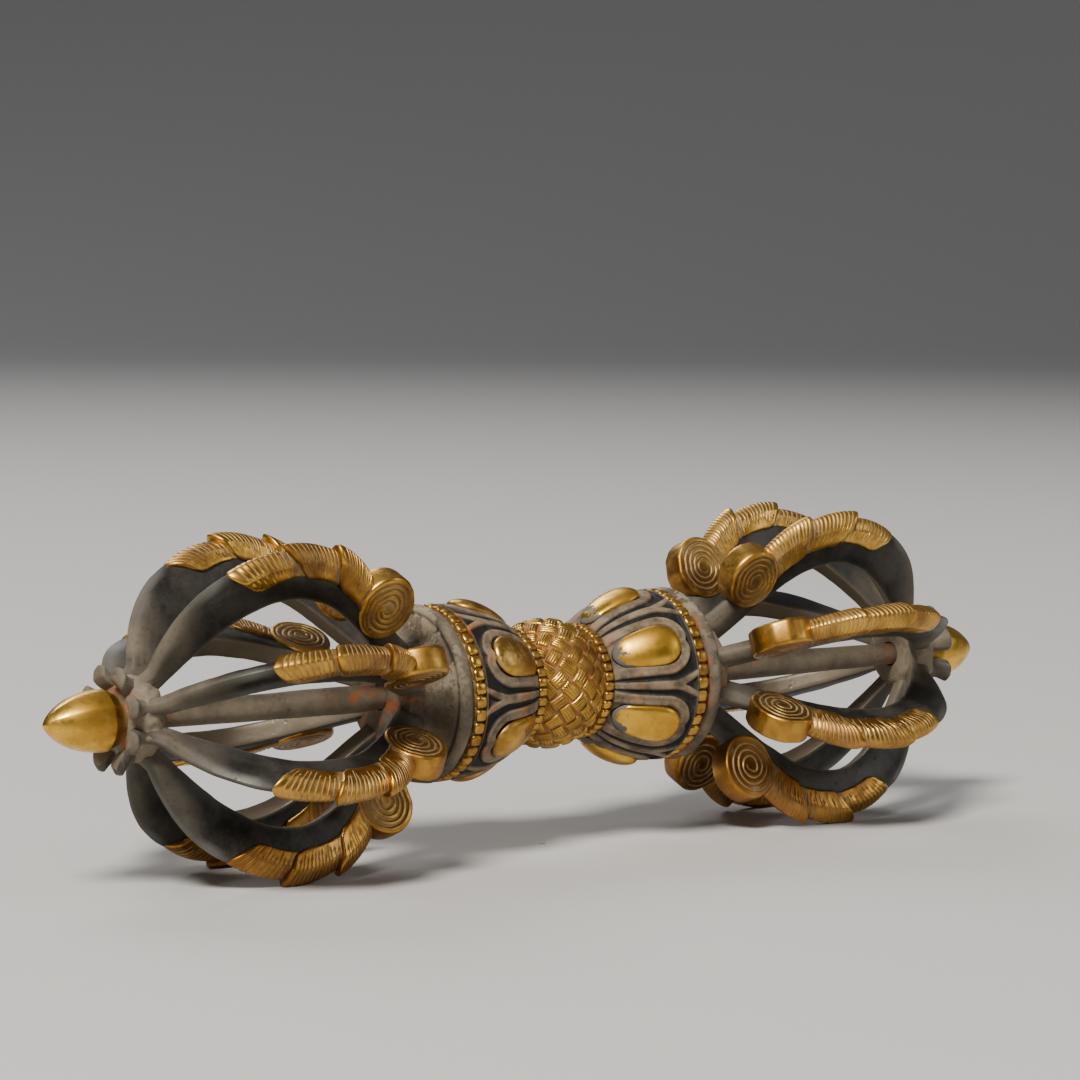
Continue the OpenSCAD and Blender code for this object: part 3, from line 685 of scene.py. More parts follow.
print("points in one scroll:", len(scroll_shell(np.random.default_rng(1))[0]))

# %% [markdown]
# Three feathers and a scroll make one crest. Every crest is cut with its own seed, because the lines were
# chased by hand and no two crests agree. The crests that carry the vajra are worn flat where they touch the
# table, so their points are not allowed below the plane that it rests on.

# %% The sixteen crests
CREST_SEED = 300


def crest_shell(seed):
    rng = np.random.default_rng(seed)
    slants = rng.uniform(2, 10, 3)
    points, faces, masks = joined([feather_shell(n, slants, rng) for n in (1, 2, 3)] + [scroll_shell(rng)])
    points[:, 1] += 0.08 * ripple(points, 14, seed)
    points[:, 2] += 0.1 * ripple(points, 12, seed + 3) - 0.17
    masks["tarnish_and_shade"] = rng.uniform(0, 0.3) + 0.15 * ripple(points, 40, seed + 5)
    return points, faces, masks


for end, side in ENDS.items():
    for number in range(1, PRONGS + 1):
        points, faces, masks = crest_shell(CREST_SEED + number + 20 * side)
        points = at_prong(points, side, number)
        points[:, 2] = np.maximum(points[:, 2], REST_Z)
        # Lower crests get more of this mask: tarnish, and towards the table a browner painted shade.
        masks["tarnish_and_shade"] = np.clip(masks["tarnish_and_shade"] - 0.4 * points[:, 2] / 40, 0, 0.7)
        mesh = plain_mesh("crest", points, outward(faces, side), masks)
        finish_piece(f"feather_crest_{end}_{number}", mesh, f"{end}_crest_{number}", crest_gold,
                     crease=50)
print("crests made, faces in one:", len(faces))

# %% [markdown]
# Beads, petals and bosses repeat round the axis. A Geometry Nodes tree does this once for all of them: it takes
# one bead or one petal, makes a number of copies, turns each about X and joins them. A little random turn or
# size keeps the copies from looking machined. The last nodes realize the copies, weld the seams and set the
# material.

# %% A tree that repeats a piece round the rod
round_tree, given, result = new_tree(
    "Repeat round the rod", "GeometryNodeTree",
    {"Geometry": "Geometry", "Count": "Int", "Turn jitter": "Float", "Size jitter": "Float", "Seed": "Int",
     "Weld": "Float", "Material": "Material"}, {"Geometry": "Geometry"})


def random_value(low, high, seed):
    return add(seed.id_data, "FunctionNodeRandomValue", {2: low, 3: high, "Seed": seed}, 1, data_type="FLOAT")


spots = add(round_tree, "GeometryNodePoints", {"Count": given["Count"]})
step = calc("DIVIDE", math.tau, given["Count"])
angle = calc("MULTIPLY", add(round_tree, "GeometryNodeInputIndex"), step)
shake = random_value(calc("MULTIPLY", given["Turn jitter"], -1.0), given["Turn jitter"], given["Seed"])
turned = add(round_tree, "ShaderNodeCombineXYZ", {"X": calc("ADD", angle, shake)})
size = random_value(calc("SUBTRACT", 1.0, given["Size jitter"]), 1.0, given["Seed"])
copies = add(round_tree, "GeometryNodeInstanceOnPoints", {
    "Points": spots, "Instance": given["Geometry"], "Rotation": turned, "Scale": size})
real = add(round_tree, "GeometryNodeRealizeInstances", {"Geometry": copies})
welded = add(round_tree, "GeometryNodeMergeByDistance", {"Geometry": real, "Distance": given["Weld"]})
feed(result, {"Geometry": add(round_tree, "GeometryNodeSetMaterial", {
    "Geometry": welded, "Material": given["Material"]})})
print("tree inputs:", [socket.name for socket in given if socket.name])

# %% [markdown]
# A tree works as a modifier on an object. The helper below puts a mesh on an object that nobody sees, sets the
# inputs of the tree, and keeps the result as a plain mesh without any modifier.

# %% Run a tree on a mesh and keep the plain result
def through_tree(mesh, tree, values):
    holder = new_object("holder", mesh)
    modifier = holder.modifiers.new("tree", "NODES")
    modifier.node_group = tree
    for socket in tree.interface.items_tree:
        if socket.name in values:
            modifier[socket.identifier] = values[socket.name]
    seen = bpy.context.evaluated_depsgraph_get()
    made = bpy.data.meshes.new_from_object(holder.evaluated_get(seen))
    holder.modifiers.remove(modifier)
    bpy.data.objects.remove(holder)
    return made


def repeated(mesh, count, material, seed, weld=0.0, turn_jitter=0.0, size_jitter=0.0):
    return through_tree(mesh, round_tree, {
        "Count": count, "Turn jitter": turn_jitter, "Size jitter": size_jitter, "Seed": seed, "Weld": weld,
        "Material": material})


print("tree runner ready")

# %% [markdown]
# A bead ring is one pillow bead on a slice of the band that carries it, repeated round the rod. The bead is a
# rounded box: a sphere whose sides are pulled square. A painted shade darkens the band and the lower sides of
# the beads between them.

# %% The four bead rings
BEAD_HALF, BEAD_POWER, BEAD_ROWS, BEAD_COLUMNS = 1.35, 0.55, 7, 12
# The CAD node, first x, width, radius over the beads, radius of the band, radius of the hole, number of beads.
RINGS = {"inner": ("ball_ring", BALL_FACE, 3.0, 15.2, 14.1, 11.1, 36),
         "outer": ("mouth_ring", MOUTH, 3.4, 23.0, 21.8, 18.1, 40)}


def squared(v):
    return np.sign(v) * np.abs(v) ** BEAD_POWER


def round_rod(x, radius, turn):
    """Points round the rod, turned away from straight up."""
    return grid(x, radius * np.sin(turn), radius * np.cos(turn))


def pillow(centre, half):
    up = np.linspace(-math.pi / 2, math.pi / 2, BEAD_ROWS + 2)[1:-1]
    x, y = (squared(np.cos(up))[:, None] * squared(wave(circle(BEAD_COLUMNS))) for wave in (np.cos, np.sin))
    ball = grid(x, y, squared(np.sin(up))[:, None]).reshape(-1, 3)
    points = np.vstack([ball, [0, 0, -1], [0, 0, 1]]) * half + centre
    south, north, top = len(points) - 2, len(points) - 1, (BEAD_ROWS - 1) * BEAD_COLUMNS
    faces = grid_faces(BEAD_ROWS, BEAD_COLUMNS, wrap_columns=True)
    pairs = [(j, (j + 1) % BEAD_COLUMNS) for j in range(BEAD_COLUMNS)]
    faces += [[b, a, south] for a, b in pairs] + [[top + a, top + b, north] for a, b in pairs]
    return points, faces


def bead_ring(from_x, width, outer_r, band_r, hole_r, beads, side):
    half = np.array([width * 0.49, math.pi * outer_r / beads * 0.9, BEAD_HALF])
    bead, bead_faces = pillow(np.array([from_x + width / 2, 0, outer_r - BEAD_HALF]), half)
    # The lower sides of the bead, and the band below, get the painted shade between the beads.
    recess = rise(bead[:, 2], outer_r - 0.75, outer_r - 1.25)
    to_x, slice_half = from_x + width, math.pi / beads
    corners = [(from_x, hole_r), (to_x, hole_r), (to_x, band_r - 0.3), (to_x - 0.4, band_r),
               (from_x + 0.4, band_r), (from_x, band_r - 0.3)]
    band = np.array([round_rod(x, r, t) for t in (-slice_half, 0, slice_half) for x, r in corners])
    band_faces = grid_faces(3, len(corners), wrap_columns=True)
    points, faces, masks = joined([(bead, bead_faces, {"line": recess}), (band, band_faces, {"line": 0.75})])
    mesh = end_mesh("beads", points, faces, masks, side)
    return repeated(mesh, beads, bead_gold, 4 + side, weld=0.05 * MM, size_jitter=0.012)


for end, side in ENDS.items():
    for name, (node, *sizes) in RINGS.items():
        ring = bead_ring(*sizes, side)
        finish_piece(f"{name}_bead_ring_{end}", ring, f"{end}_{node}", bead_gold, crease=60)
    print(end, "outer ring faces:", len(ring.polygons))

# %% [markdown]
# A lotus cup is six equal petals. The relief is drawn on one petal as heights above the cup: a broad rim round
# the boss with a small notch at its end, a dark groove, and a ridge that the petal shares with its neighbour
# until the ridge forks near the beads. Distances to these outlines give both the heights and the mask that
# paints the ridges pale and the grooves black.

# %% One petal of the lotus
THROAT_R, MOUTH_R, CUP_LEN = 14.2, 22.2, 22
PETAL_ROWS, PETAL_COLUMNS = 96, 91
RIM_ANGLE, RIM_SHOULDER, RIM_END, RIM_NOTCH, RIM_W = math.radians(18.6), 0.6, 0.87, 0.9, 1.45
FORK_AT, FORK_WIDE = 0.66, 3.1
RIDGE_HIGH, RIM_HIGH, BORDER_HIGH, GROUND = 1.0, 1.15, 0.95, -0.45
INSIDE_WALL = ((MOUTH, 19.0), (MOUTH, 4.0), (THROAT, 4.0), (THROAT, 11.0))
# Red traces: their strength at each end, and how it grows along the cup.
RUST, RUST_X, RUST_SHARE = {-1: 0.9, 1: 0.45}, (24, 34), (0.75, 1.6)


def cup_r(u):
    """Radius of the cup, from the throat at 0 to the mouth at 1."""
    return THROAT_R + (MOUTH_R - THROAT_R) * np.sin(math.pi / 2 * np.clip(u, 0, 1) ** 0.75)


def rim_line():
    """Points of the petal's rim on the unrolled cup, as (distance along, distance across)."""
    u = RIM_SHOULDER * np.linspace(0, 1, 60)
    sides = np.stack([u * CUP_LEN, cup_r(u) * RIM_ANGLE], -1)
    turn = np.linspace(0, math.pi / 2, 50)
    across = cup_r(RIM_SHOULDER) * RIM_ANGLE * np.cos(turn) ** 0.85
    along = RIM_SHOULDER * CUP_LEN + (RIM_END - RIM_SHOULDER) * CUP_LEN * np.sin(turn)
    along = along - RIM_NOTCH * np.exp(-(across / 1.3) ** 2)
    return np.vstack([sides, np.stack([along, across], -1)])


def distance_to(line, along, across):
    flat = np.stack([along.ravel(), across.ravel()], -1)
    return np.sqrt(((flat[:, None] - line) ** 2).sum(-1).min(1)).reshape(along.shape)


def petal_sector(side):
    u = np.linspace(0, 1, PETAL_ROWS)
    turn = np.linspace(-math.pi / PETALS, math.pi / PETALS, PETAL_COLUMNS)
    base = cup_r(u)
    along = np.broadcast_to((u * CUP_LEN)[:, None], (PETAL_ROWS, PETAL_COLUMNS))
    across = np.abs(base[:, None] * turn)
    rim = rim_line()
    to_rim = distance_to(rim, along, across) / RIM_W
    part = rise(u, FORK_AT, 1)
    from_border = (base * math.pi / PETALS)[:, None] - across
    ridge_w = 0.85 + 0.4 * rise(u, 0, 0.5) - 0.45 * part
    to_ridge = np.abs(from_border - (FORK_WIDE * part ** 1.3)[:, None]) / ridge_w[:, None]
    rim_bump, ridge_bump = 1 / (1 + to_rim ** 8), 1 / (1 + to_ridge ** 8)
    border = np.broadcast_to(rise(u, 0.95, 0.98)[:, None], along.shape)
    dish = 0.25 * rise(to_rim, 1, 0)
    relief = [RIDGE_HIGH * ridge_bump, RIM_HIGH * rim_bump - dish, BORDER_HIGH * border]
    height = np.maximum.reduce(relief) + GROUND
    radius = base[:, None] + height - 0.35 * rise(u, 0.99, 1)[:, None]
    order = np.argsort(rim[:, 0])
    inside = across < np.interp(along, rim[order, 0], rim[order, 1], right=0)
    paint = rise(np.maximum.reduce([ridge_bump, rim_bump, 0.6 * border, 0.68 * inside]), 0.45, 0.8)
    walls = [round_rod(x, r, turn)[None] for x, r in INSIDE_WALL]
    points = np.vstack([round_rod(THROAT + along, radius, turn), *walls])
    paint = np.vstack([paint, np.full((len(walls), PETAL_COLUMNS), 0.3)])
    faces = flipped(grid_faces(len(points), PETAL_COLUMNS, wrap_rows=True))
    rust = RUST[side] * np.interp(points[..., 0], RUST_X, RUST_SHARE)
    return end_mesh("petal", points, faces, {"ridge": paint, "rust": rust}, side)


for end, side in ENDS.items():
    cup = repeated(petal_sector(side), PETALS, lotus_field, 2, weld=0.005 * MM)
    finish_piece(f"lotus_cup_{end}", cup, f"{end}_lotus", lotus_field, crease=60)
    print(end, "lotus faces:", len(cup.polygons))

# %% [markdown]
# A gilt boss lies on every petal like a drop, with its slim end towards the ball. It is a dome on the slope of
# the cup: rows run along the drop, columns run across it, and the lower edge is tucked just under the surface.

# %% The petal bosses
BOSS_FROM, BOSS_LEN, BOSS_ANGLE, BOSS_HIGH = 0.02, 0.775, math.radians(15.4), 2.3
BOSS_LIFT, BOSS_TUCK, BOSS_ROWS, BOSS_COLUMNS = 0.3, 0.7, 40, 29
BOSS_FINISH = {"left": dull_gold, "right": boss_gold}


def boss_shell(side):
    t = (1 - np.cos(np.linspace(0, math.pi, BOSS_ROWS))) / 2
    bend = np.linspace(-1, 1, BOSS_COLUMNS) * math.pi / 2
    u = BOSS_FROM + BOSS_LEN * t
    blunt, slim = 1 - rise(t, 0.6, 1) ** 2.3, 1 - rise(t, 0.17, 0) ** 2.2
    belly = 0.78 + 0.22 * np.sin(math.pi / 2 * rise(t, 0, 0.55))
    half = cup_r(u) * BOSS_ANGLE * belly * np.sqrt(blunt * slim) + 0.02
    across = half[:, None] * np.sin(bend)
    crown = BOSS_HIGH * (half / half.max()) ** 0.9
    height = crown[:, None] * np.cos(bend) ** 0.8 - 0.15
    base = cup_r(u)[:, None] + BOSS_LIFT
    turn = across / base
    x = (THROAT + CUP_LEN * u)[:, None]
    points = np.hstack([round_rod(x, base + height, turn), round_rod(x, base - BOSS_TUCK, turn)[:, ::-1]])
    faces = flipped(tube_faces(*points.shape[:2]))
    # A painted shade darkens the foot of the boss, where it meets the cup.
    seam_shade = np.hstack([np.clip((0.3 - height) / 0.4, 0, 0.9), np.ones_like(height)])
    wear = 0.42 * rise(t, 0.45, 0.15)[:, None] + 0.14 * rise(height, 0.9, 0.2)
    wear = np.hstack([wear, np.zeros_like(height)])
    return end_mesh("boss", points, faces, {"crease": seam_shade, "wear": wear}, side)


for end, side in ENDS.items():
    bosses = repeated(boss_shell(side), PETALS, BOSS_FINISH[end], 9 + side, turn_jitter=0.012)
    finish_piece(f"petal_bosses_{end}", bosses, f"{end}_petal_bosses", BOSS_FINISH[end], crease=60)
print("boss faces on one cup:", len(bosses.polygons))

# %% [markdown]
# The ball is wrapped in a basket weave: short gold pads, each with three grooves, that turn a quarter from one
# row to the next. A second tree lays one pad on the points of a diamond grid over the ball. It works out the
# latitude and the turn of each point, sets the pad upright on the surface and turns it one way or the other by
# its row. The core of the ball shows between the pads and keeps a reddish residue with red traces.

# %% A tree that weaves pads over a ball
CORE_MASKS = {"line": 0.8, "rust": 0.85}
weave_tree, given, result = new_tree(
    "Weave a ball", "GeometryNodeTree",
    {"Geometry": "Geometry", "Rows": "Int", "Columns": "Int", "Row angle": "Float", "Pad radius": "Float",
     "Core radius": "Float", "Slant": "Float", "Jitter": "Float", "Seed": "Int", "Material": "Material"},
    {"Geometry": "Geometry"})
spots = add(weave_tree, "GeometryNodePoints", {"Count": calc("MULTIPLY", given["Rows"], given["Columns"])})
index = add(weave_tree, "GeometryNodeInputIndex")
row = calc("FLOOR", calc("DIVIDE", calc("ADD", index, 0.01), given["Columns"]))
column = calc("MODULO", index, given["Columns"])
odd = calc("MODULO", row, 2.0)
middle_row = calc("MULTIPLY", calc("SUBTRACT", given["Rows"], 1.0), 0.5)
latitude = calc("MULTIPLY", calc("SUBTRACT", row, middle_row), given["Row angle"])
step = calc("DIVIDE", math.tau, given["Columns"])
turn = calc("MULTIPLY", calc("ADD", column, calc("MULTIPLY", odd, 0.5)), step)
ring = calc("COSINE", latitude)
normal = add(weave_tree, "ShaderNodeCombineXYZ", {
    "X": calc("SINE", latitude), "Y": calc("MULTIPLY", ring, calc("SINE", turn)),
    "Z": calc("MULTIPLY", ring, calc("COSINE", turn))})
seat = add(weave_tree, "ShaderNodeVectorMath", {0: normal, "Scale": given["Pad radius"]}, operation="SCALE")
spots = add(weave_tree, "GeometryNodeSetPosition", {"Geometry": spots, "Position": seat})
upright = add(weave_tree, "FunctionNodeAlignRotationToVector", {"Vector": normal}, axis="Z")
upright = add(weave_tree, "FunctionNodeAlignRotationToVector", {"Rotation": upright, "Vector": (1, 0, 0)},
              axis="X", pivot_axis="Z")
shake = random_value(calc("MULTIPLY", given["Jitter"], -1.0), given["Jitter"], given["Seed"])
lean = calc("MULTIPLY", calc("SUBTRACT", calc("MULTIPLY", odd, 2.0), 1.0), given["Slant"])
twist = add(weave_tree, "ShaderNodeCombineXYZ", {"Z": calc("ADD", lean, shake)})
upright = add(weave_tree, "FunctionNodeRotateRotation", {"Rotation": upright, "Rotate By": twist},
              rotation_space="LOCAL")
pads = add(weave_tree, "GeometryNodeInstanceOnPoints", {
    "Points": spots, "Instance": given["Geometry"], "Rotation": upright,
    "Scale": between(ring, 0.86, 1.0, 0.8, 1.0)})
pads = add(weave_tree, "GeometryNodeRealizeInstances", {"Geometry": pads})
core = add(weave_tree, "GeometryNodeMeshUVSphere", {
    "Segments": 96, "Rings": 48, "Radius": given["Core radius"]})
for name, value in CORE_MASKS.items():
    core = add(weave_tree, "GeometryNodeStoreNamedAttribute", {"Geometry": core, "Name": name, "Value": value},
               data_type="FLOAT", domain="POINT")
both = add(weave_tree, "GeometryNodeJoinGeometry", {"Geometry": pads})
feed(both.node, {"Geometry": core})
feed(result, {"Geometry": add(weave_tree, "GeometryNodeSetMaterial", {
    "Geometry": both, "Material": given["Material"]})})
print("weave inputs:", [socket.name for socket in given if socket.name])

# %% [markdown]
# One pad is a small cushion, longer than wide, with three grooves along it. Its edges are rounded down to the
# core, and it sags a little at its ends to follow the ball.

# %% The woven ball
PAD_LONG, PAD_WIDE, PAD_HIGH, PAD_UNDER, GROOVE_DEEP, SAG = 2.5, 1.66, 0.62, 0.7, 0.24, 33
ACROSS = [-1, -0.93, -0.78, -0.58, -0.5, -0.42, -0.2, -0.08, 0, 0.08, 0.2, 0.42, 0.5, 0.58, 0.78, 0.93, 1]
ALONG = [-1, -0.94, -0.8, -0.5, 0, 0.5, 0.8, 0.94, 1]
GROOVES = (-0.5, 0, 0.5)


def rounded(v):
    return np.sqrt(np.clip(1 - np.abs(v) ** 5, 0, 1))


def pad_mesh():
    across, along = np.array(ACROSS), np.array(ALONG)
    groove = np.isin(across, GROOVES).astype(float)
    high = PAD_HIGH * rounded(along)[:, None] * rounded(across) + 0.15 * (1 - across ** 2)
    high = high - GROOVE_DEEP * groove * rise(np.abs(along), 1.2, 0.2)[:, None]
    x, y = PAD_LONG * along[:, None], PAD_WIDE * across
    sag = (x ** 2 + y ** 2) / SAG
    points = np.hstack([grid(x, y, high - sag), grid(x, y, -PAD_UNDER - sag)[:, ::-1]])
    dirt = np.hstack([np.clip(0.7 * groove + (0.3 - high), 0, 0.8), np.ones_like(high)])
    return plain_mesh("pad", points, flipped(tube_faces(*points.shape[:2])), {"line": dirt})


ball = through_tree(pad_mesh(), weave_tree, {
    "Rows": 7, "Columns": 16, "Row angle": 0.19, "Pad radius": 16.4 * MM, "Core radius": 16.45 * MM,
    "Slant": math.pi / 4, "Jitter": 0.1, "Seed": 3, "Material": ball_gold})
finish_piece("woven_ball", ball, "centre_ball", ball_gold, crease=60)
print("ball faces:", len(ball.polygons))

# %% [markdown]
# The plain turned pieces are profiles spun round the rod: the root plates with their round flange, the collars,
# the tips and the rod itself. A spin of a profile is a grid too. Lumps of old braze are pushed out of the neck
# and the collar where the prongs meet them, and the whole skin is left a little uneven.

# %% Helpers for spun pieces
def off_middle(degrees):
    """How far an angle is from the middle between two prongs, from 0 to half the angle of a prong."""
    return np.abs((degrees + PRONG_ANGLE / 2) % PRONG_ANGLE - PRONG_ANGLE / 2)


def spun(profile, columns, lumps=0.0, uneven=0.0, seed=1, lump_from=0.0, lids=False):
    profile = np.array(profile, float)
    around = circle(columns)
    where = rise(profile[:, :1], lump_from, lump_from + 2.5) * (profile[:, 1:] > ROD_R + 0.6)
    radius = profile[:, 1:] + lumps * where * near(off_middle(np.degrees(around)), PRONG_ANGLE / 2, 9)
    points = grid(profile[:, :1], radius * np.cos(around), radius * np.sin(around)).reshape(-1, 3)
    if uneven:
        radius = radius.reshape(-1)
        shake = uneven * (0.7 * ripple(points, 9, seed) + 0.3 * ripple(points, 3.5, seed + 1))
        points[:, 1:] *= (1 + np.where(radius > ROD_R + 0.3, shake / np.maximum(radius, 1), 0))[:, None]
    if lids:
        return points, flipped(tube_faces(len(profile), columns))
    return points, flipped(grid_faces(len(profile), columns, wrap_rows=True, wrap_columns=True))


def smooth_profile(corners, steps):
    """More points along a profile, rounded at its corners."""
    corners = np.array(corners, float)
    along = np.append(0, np.cumsum(np.linalg.norm(np.diff(corners, axis=0), axis=1)))
    fine = np.linspace(0, along[-1], steps)
    line = np.stack([np.interp(fine, along, corners[:, k]) for k in (0, 1)], -1)
    for _ in range(3):
        line[1:-1] = 0.25 * line[:-2] + 0.5 * line[1:-1] + 0.25 * line[2:]
    return line


print("spin helpers ready")

# %% [markdown]
# A profile is a list of places along the rod and radii. The root plate has a groove in its flange, darkened by a
# painted shade, and red traces beside the bead ring and the cage. The collar is a lump of braze, rough and
# sandy.

# %% The root plates and the collars
PLATE = [(31.5, 17.9), (37.8, 17.9), (37.85, 20.5), (38.3, 22.2), (39.3, 22.9), (40.5, 23.0), (41.6, 22.6),
         (42.2, 21.6), (41.7, 20.9), (42.4, 20.2), (43.2, 18.4), (43.8, 16.8), (45.0, 15.0), (47.0, 13.9),
         (50.0, 13.4), (51.6, 13.1), (52.0, 12.0)]
COLLAR_LINE = [(120.0, 4.0), (120.1, 7.6), (121.0, 9.3), (123.0, 10.1), (126.0, 10.3), (128.6, 9.3),
               (129.9, 7.4)]
BORE_R, FLANGE_X, GROOVE_R, NECK_FROM = 3.4, 37.9, 20.9, 43.5
PLATE_STEPS, PLATE_COLUMNS, COLLAR_STEPS, COLLAR_COLUMNS = 110, 144, 26, 96

for end, side in ENDS.items():
    profile = np.vstack([smooth_profile(PLATE, PLATE_STEPS), [(CAGE, BORE_R), (PLATE[0][0], BORE_R)]])
    points, faces = spun(profile, PLATE_COLUMNS, lumps=0.9, uneven=0.16, seed=30 + side, lump_from=NECK_FROM)
    x, radius = points[:, 0], np.hypot(points[:, 1], points[:, 2])
    masks = {"rust": 0.6 * near(x, CAGE - 1, 3) + 0.9 * near(x, FLANGE_X, 0.8),
             "flake": np.clip(0.25 + 0.4 * ripple(points, 16, 3) + points[:, 2] / 30, 0, 0.95),
             # A painted shade darkens the groove in the flange.
             "crease": 0.85 * near(radius, GROOVE_R, 0.45) * (x > 41)}
    mesh = end_mesh("plate", points, faces, masks, side)
    finish_piece(f"root_plate_{end}", mesh, f"{end}_root_plate", dry_clay, crease=50)
    profile = np.vstack([smooth_profile(COLLAR_LINE, COLLAR_STEPS), [(TIP, BORE_R), (COLLAR, BORE_R)]])
    points, faces = spun(profile, COLLAR_COLUMNS, lumps=1.0, uneven=0.9, seed=40 + side, lump_from=COLLAR - 1)
    masks = {"rust": 0.75 * near(points[:, 0], TIP - 0.5, 1.4), "flake": 0.5, "sand": 0.75}
    mesh = end_mesh("collar", points, faces, masks, side)
    finish_piece(f"tip_collar_{end}", mesh, f"{end}_collar", dry_clay, crease=50)
print("root plates and collars made")

# %% [markdown]
# The tips are drops with a crisp shoulder above a short base. They were filed by hand, which leaves soft flats
# and a slow, shallow unevenness. The rod is a little thicker near the hub, with the red traces of the workshop.

# %% The tips and the rod
SHOULDER, TIP_R, BASE_R, BORE_END_R, POINT_R = 3.8, 8.0, 6.2, 2.4, 0.02
NOSE_FROM = TIP + SHOULDER + 0.1
TIP_COLUMNS, ROD_COLUMNS, SPIGOT_R, SPIGOT_END = 96, 48, 2.3, TIP + 11
# How the rod swells: places along it, and what is added to its radius.
SWELL_X, SWELL_R = (50, 53, 57, 64, 90, 118), (0.0, -0.3, 0.1, 0.3, 0.05, -0.3)


def tip_profile():
    base = [(TIP + SHOULDER * t, BASE_R + 1.75 * t) for t in np.linspace(0, 1, 7)]
    shares = 1 - (1 - np.linspace(0, 1, 40)) ** 1.6
    nose = [(NOSE_FROM + (APEX - NOSE_FROM) * t, TIP_R * max(0.0, 1 - t ** 2) ** 0.74) for t in shares[:-1]]
    bore = [(APEX, POINT_R), (APEX - 8, POINT_R), (APEX - 9, BORE_END_R)]
    return [(TIP, BORE_END_R), (TIP, 5.2), (TIP + 0.02, 5.9)] + base + nose + bore


for end, side in ENDS.items():
    points, faces = spun(tip_profile(), TIP_COLUMNS)
    solid = (points[:, 0] > TIP + 1) & (np.hypot(points[:, 1], points[:, 2]) > 0.5)
    beside = np.abs((np.degrees(np.arctan2(points[:, 2], points[:, 1])) + 10) % PRONG_ANGLE - PRONG_ANGLE / 2)
    flats = 0.4 * (1 - math.cos(math.pi / PRONGS) / np.cos(np.radians(PRONG_ANGLE / 2 - beside)))
    points[:, 1:] *= 1 - (solid * (flats + 0.004 * (1 - ripple(points, 10, 60 + side))))[:, None]
    # The crease mask is a painted shade on the short base under the shoulder.
    masks = {"line": 0.7 * rise(points[:, 0], TIP + 1.4, TIP + 0.2),
             "crease": 0.5 * rise(points[:, 0], NOSE_FROM - 0.05, NOSE_FROM - 0.15)}
    mesh = end_mesh("tip", points, faces, masks, side)
    finish_piece(f"pointed_tip_{end}", mesh, f"{end}_tip", tip_gold, crease=20)

along = np.hstack([np.linspace(0, CAGE - 6, 6), np.linspace(CAGE - 2, COLLAR + 2, 50), TIP])
swell = np.interp(along, SWELL_X, SWELL_R)
half = list(zip(along, ROD_R + swell))
half += [(TIP, SPIGOT_R), (SPIGOT_END, SPIGOT_R), (SPIGOT_END, POINT_R)]
points, faces = spun([(-x, r) for x, r in half[::-1]] + half[1:], ROD_COLUMNS, lids=True)
points[:, 1:] *= 1 + (0.02 * ripple(points, 13, 71))[:, None] * (np.abs(points[:, :1]) < COLLAR + 1)
far = np.abs(points[:, 0])
reddish = 0.95 * near(far, CAGE + 9, 8) * rise(points[:, 2], -1.5, 1.5) + 0.4 * near(far, COLLAR - 1, 4)
mesh = plain_mesh("rod", points, faces, {"rust": reddish})
finish_piece("core_rod_through", mesh, "core_rod", rod_clay, crease=50)
print("rod faces:", len(faces))

# %% [markdown]
# The photograph was taken from a little above the table, with the left tip towards the camera. The camera below
# stands where a fit to the photograph put it. It is aimed a little over the object, which leaves the object in
# the lower part of the picture without any lens shift.

# %% Camera
PIXELS, FOCAL_PX, SENSOR, DISTANCE = 1080, 4204.87, 36.0, 1.1
MIDDLE_X, MIDDLE_Y = 543.3, 683.2
azimuth, elevation, roll = math.radians(-36.75), math.radians(7.19), math.radians(0.47)
back = Vector((math.sin(azimuth) * math.cos(elevation), -math.cos(azimuth) * math.cos(elevation),
               math.sin(elevation)))
right = Vector((0, 0, 1)).cross(back).normalized()
stand = Matrix((right, back.cross(right), back)).transposed().to_4x4()
tilt = Matrix.Rotation(math.atan2(MIDDLE_Y - PIXELS / 2, FOCAL_PX), 4, "X")
pan = Matrix.Rotation(math.atan2(MIDDLE_X - PIXELS / 2, FOCAL_PX), 4, "Y")
lens = bpy.data.cameras.new("photo_camera")
lens.sensor_fit, lens.sensor_width = "HORIZONTAL", SENSOR
lens.lens = FOCAL_PX / PIXELS * SENSOR
lens.clip_start, lens.clip_end = 0.05, 50.0
camera = new_object("photo_camera", lens)
stand = Matrix.Translation(back * DISTANCE) @ stand
camera.matrix_world = stand @ Matrix.Rotation(roll, 4, "Z") @ (tilt @ pan)
bpy.context.scene.camera = camera
print("lens %.1f mm" % lens.lens)

# %% [markdown]
# A pale table that sweeps up into a grey wall far away, one broad soft light from the upper left, a weaker one
# from the right, one from behind and a grey sky are enough. The sweep leaves no horizon line. Metal shows what
# it reflects, so the lights are large and the wall is darker than the table: the gold gets soft bright bands
# and deep tones.

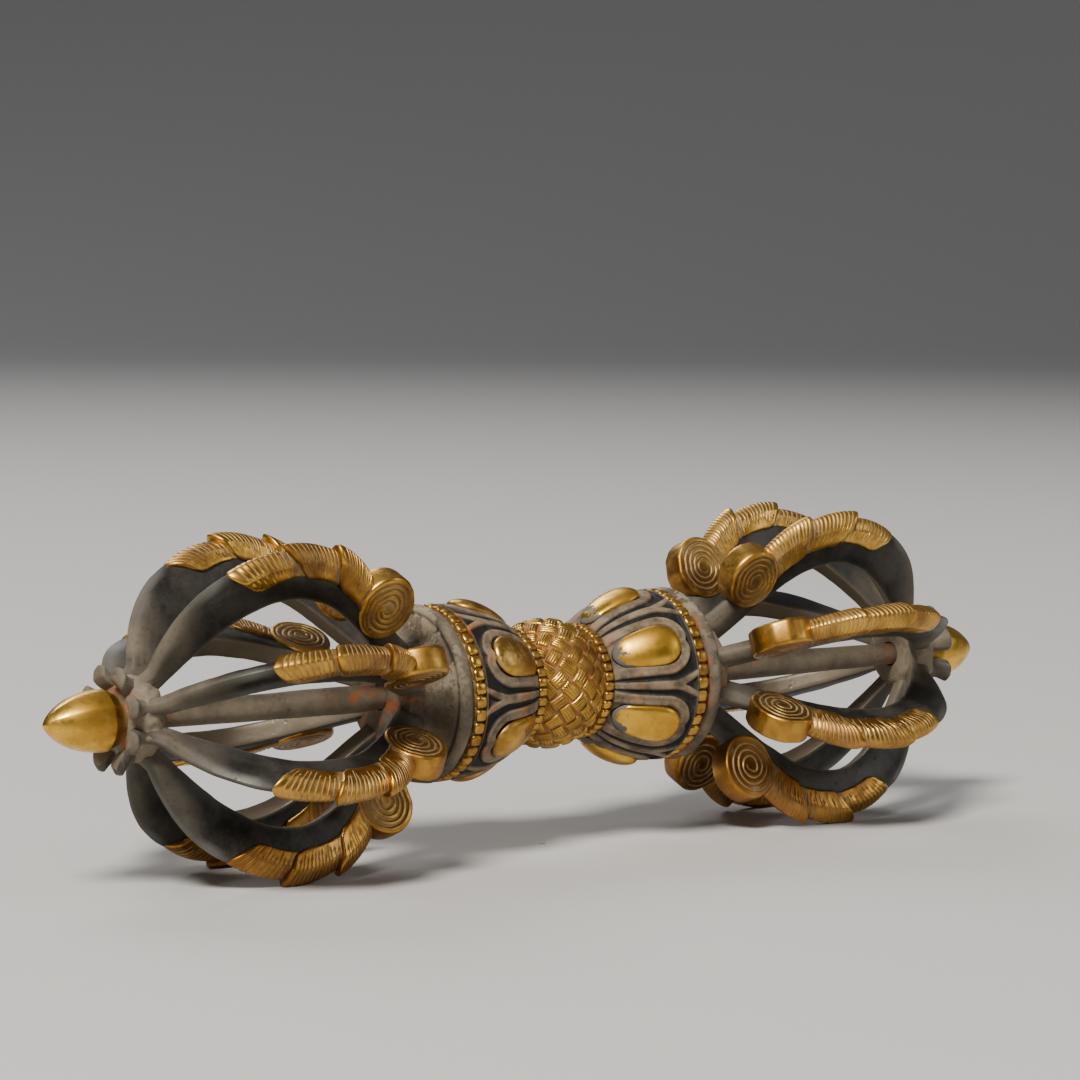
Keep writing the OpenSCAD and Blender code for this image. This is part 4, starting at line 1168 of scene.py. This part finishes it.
# %% Table and light
TABLE, WALL = (0.60, 0.59, 0.57), (0.17, 0.17, 0.175)
FLAT_R, SWEEP_R, TABLE_SPOKES = 2.6, 1.6, 64
sweep = [(0.001, 0.0), (1.0, 0.0), (FLAT_R, 0.0)]
sweep += [(FLAT_R + SWEEP_R * math.sin(t), SWEEP_R - SWEEP_R * math.cos(t))
          for t in np.linspace(0.1, math.pi / 2, 12)] + [(FLAT_R + SWEEP_R, 2 * SWEEP_R)]
bowl = [(r * math.cos(t), r * math.sin(t), z + REST_Z * MM) for r, z in sweep for t in circle(TABLE_SPOKES)]
floor_mesh = bpy.data.meshes.new("table_top")
floor_mesh.from_pydata(bowl, [], grid_faces(len(sweep), TABLE_SPOKES, wrap_columns=True))
floor_mesh.shade_smooth()
floor = new_object("table_top", floor_mesh)
paper = bpy.data.materials.new("pale_table")
paper.use_nodes = True
place = add(paper.node_tree, "ShaderNodeTexCoord", output="Object")
away = add(paper.node_tree, "ShaderNodeVectorMath", {0: place}, "Value", operation="LENGTH")
feed(paper.node_tree.nodes["Principled BSDF"], {
    "Base Color": mixed(ramp(away, 0.7, 2.8), TABLE, WALL), "Roughness": 0.75})
floor_mesh.materials.append(paper)


def soft_light(name, place, size, watts, colour):
    """A round light that shines on the middle of the object."""
    data = bpy.data.lights.new(name, "AREA")
    data.shape, data.size, data.energy, data.color = "DISK", size, watts, colour
    lamp = new_object(name, data)
    lamp.location = place
    lamp.rotation_euler = (-Vector(place)).to_track_quat("-Z", "Y").to_euler()
    lamp.visible_camera = False


soft_light("key_light", (-1.7, -1.2, 2.5), size=1.0, watts=150.0, colour=(1.0, 0.96, 0.90))
soft_light("fill_light", (2.2, -2.0, 1.3), size=1.6, watts=14.0, colour=(0.93, 0.96, 1.0))
soft_light("back_light", (0.5, 2.4, 2.0), size=1.6, watts=34.0, colour=(1.0, 1.0, 1.0))
world = bpy.data.worlds.new("studio")
world.use_nodes = True
feed(world.node_tree.nodes["Background"], {"Color": WALL})
bpy.context.scene.world = world

# %% [markdown]
# The last cell prints the box of the CAD model.

# %% Print the CAD box
print("CAD box", [tuple(round(v / MM, 2) for v in p) for p in cad_box])
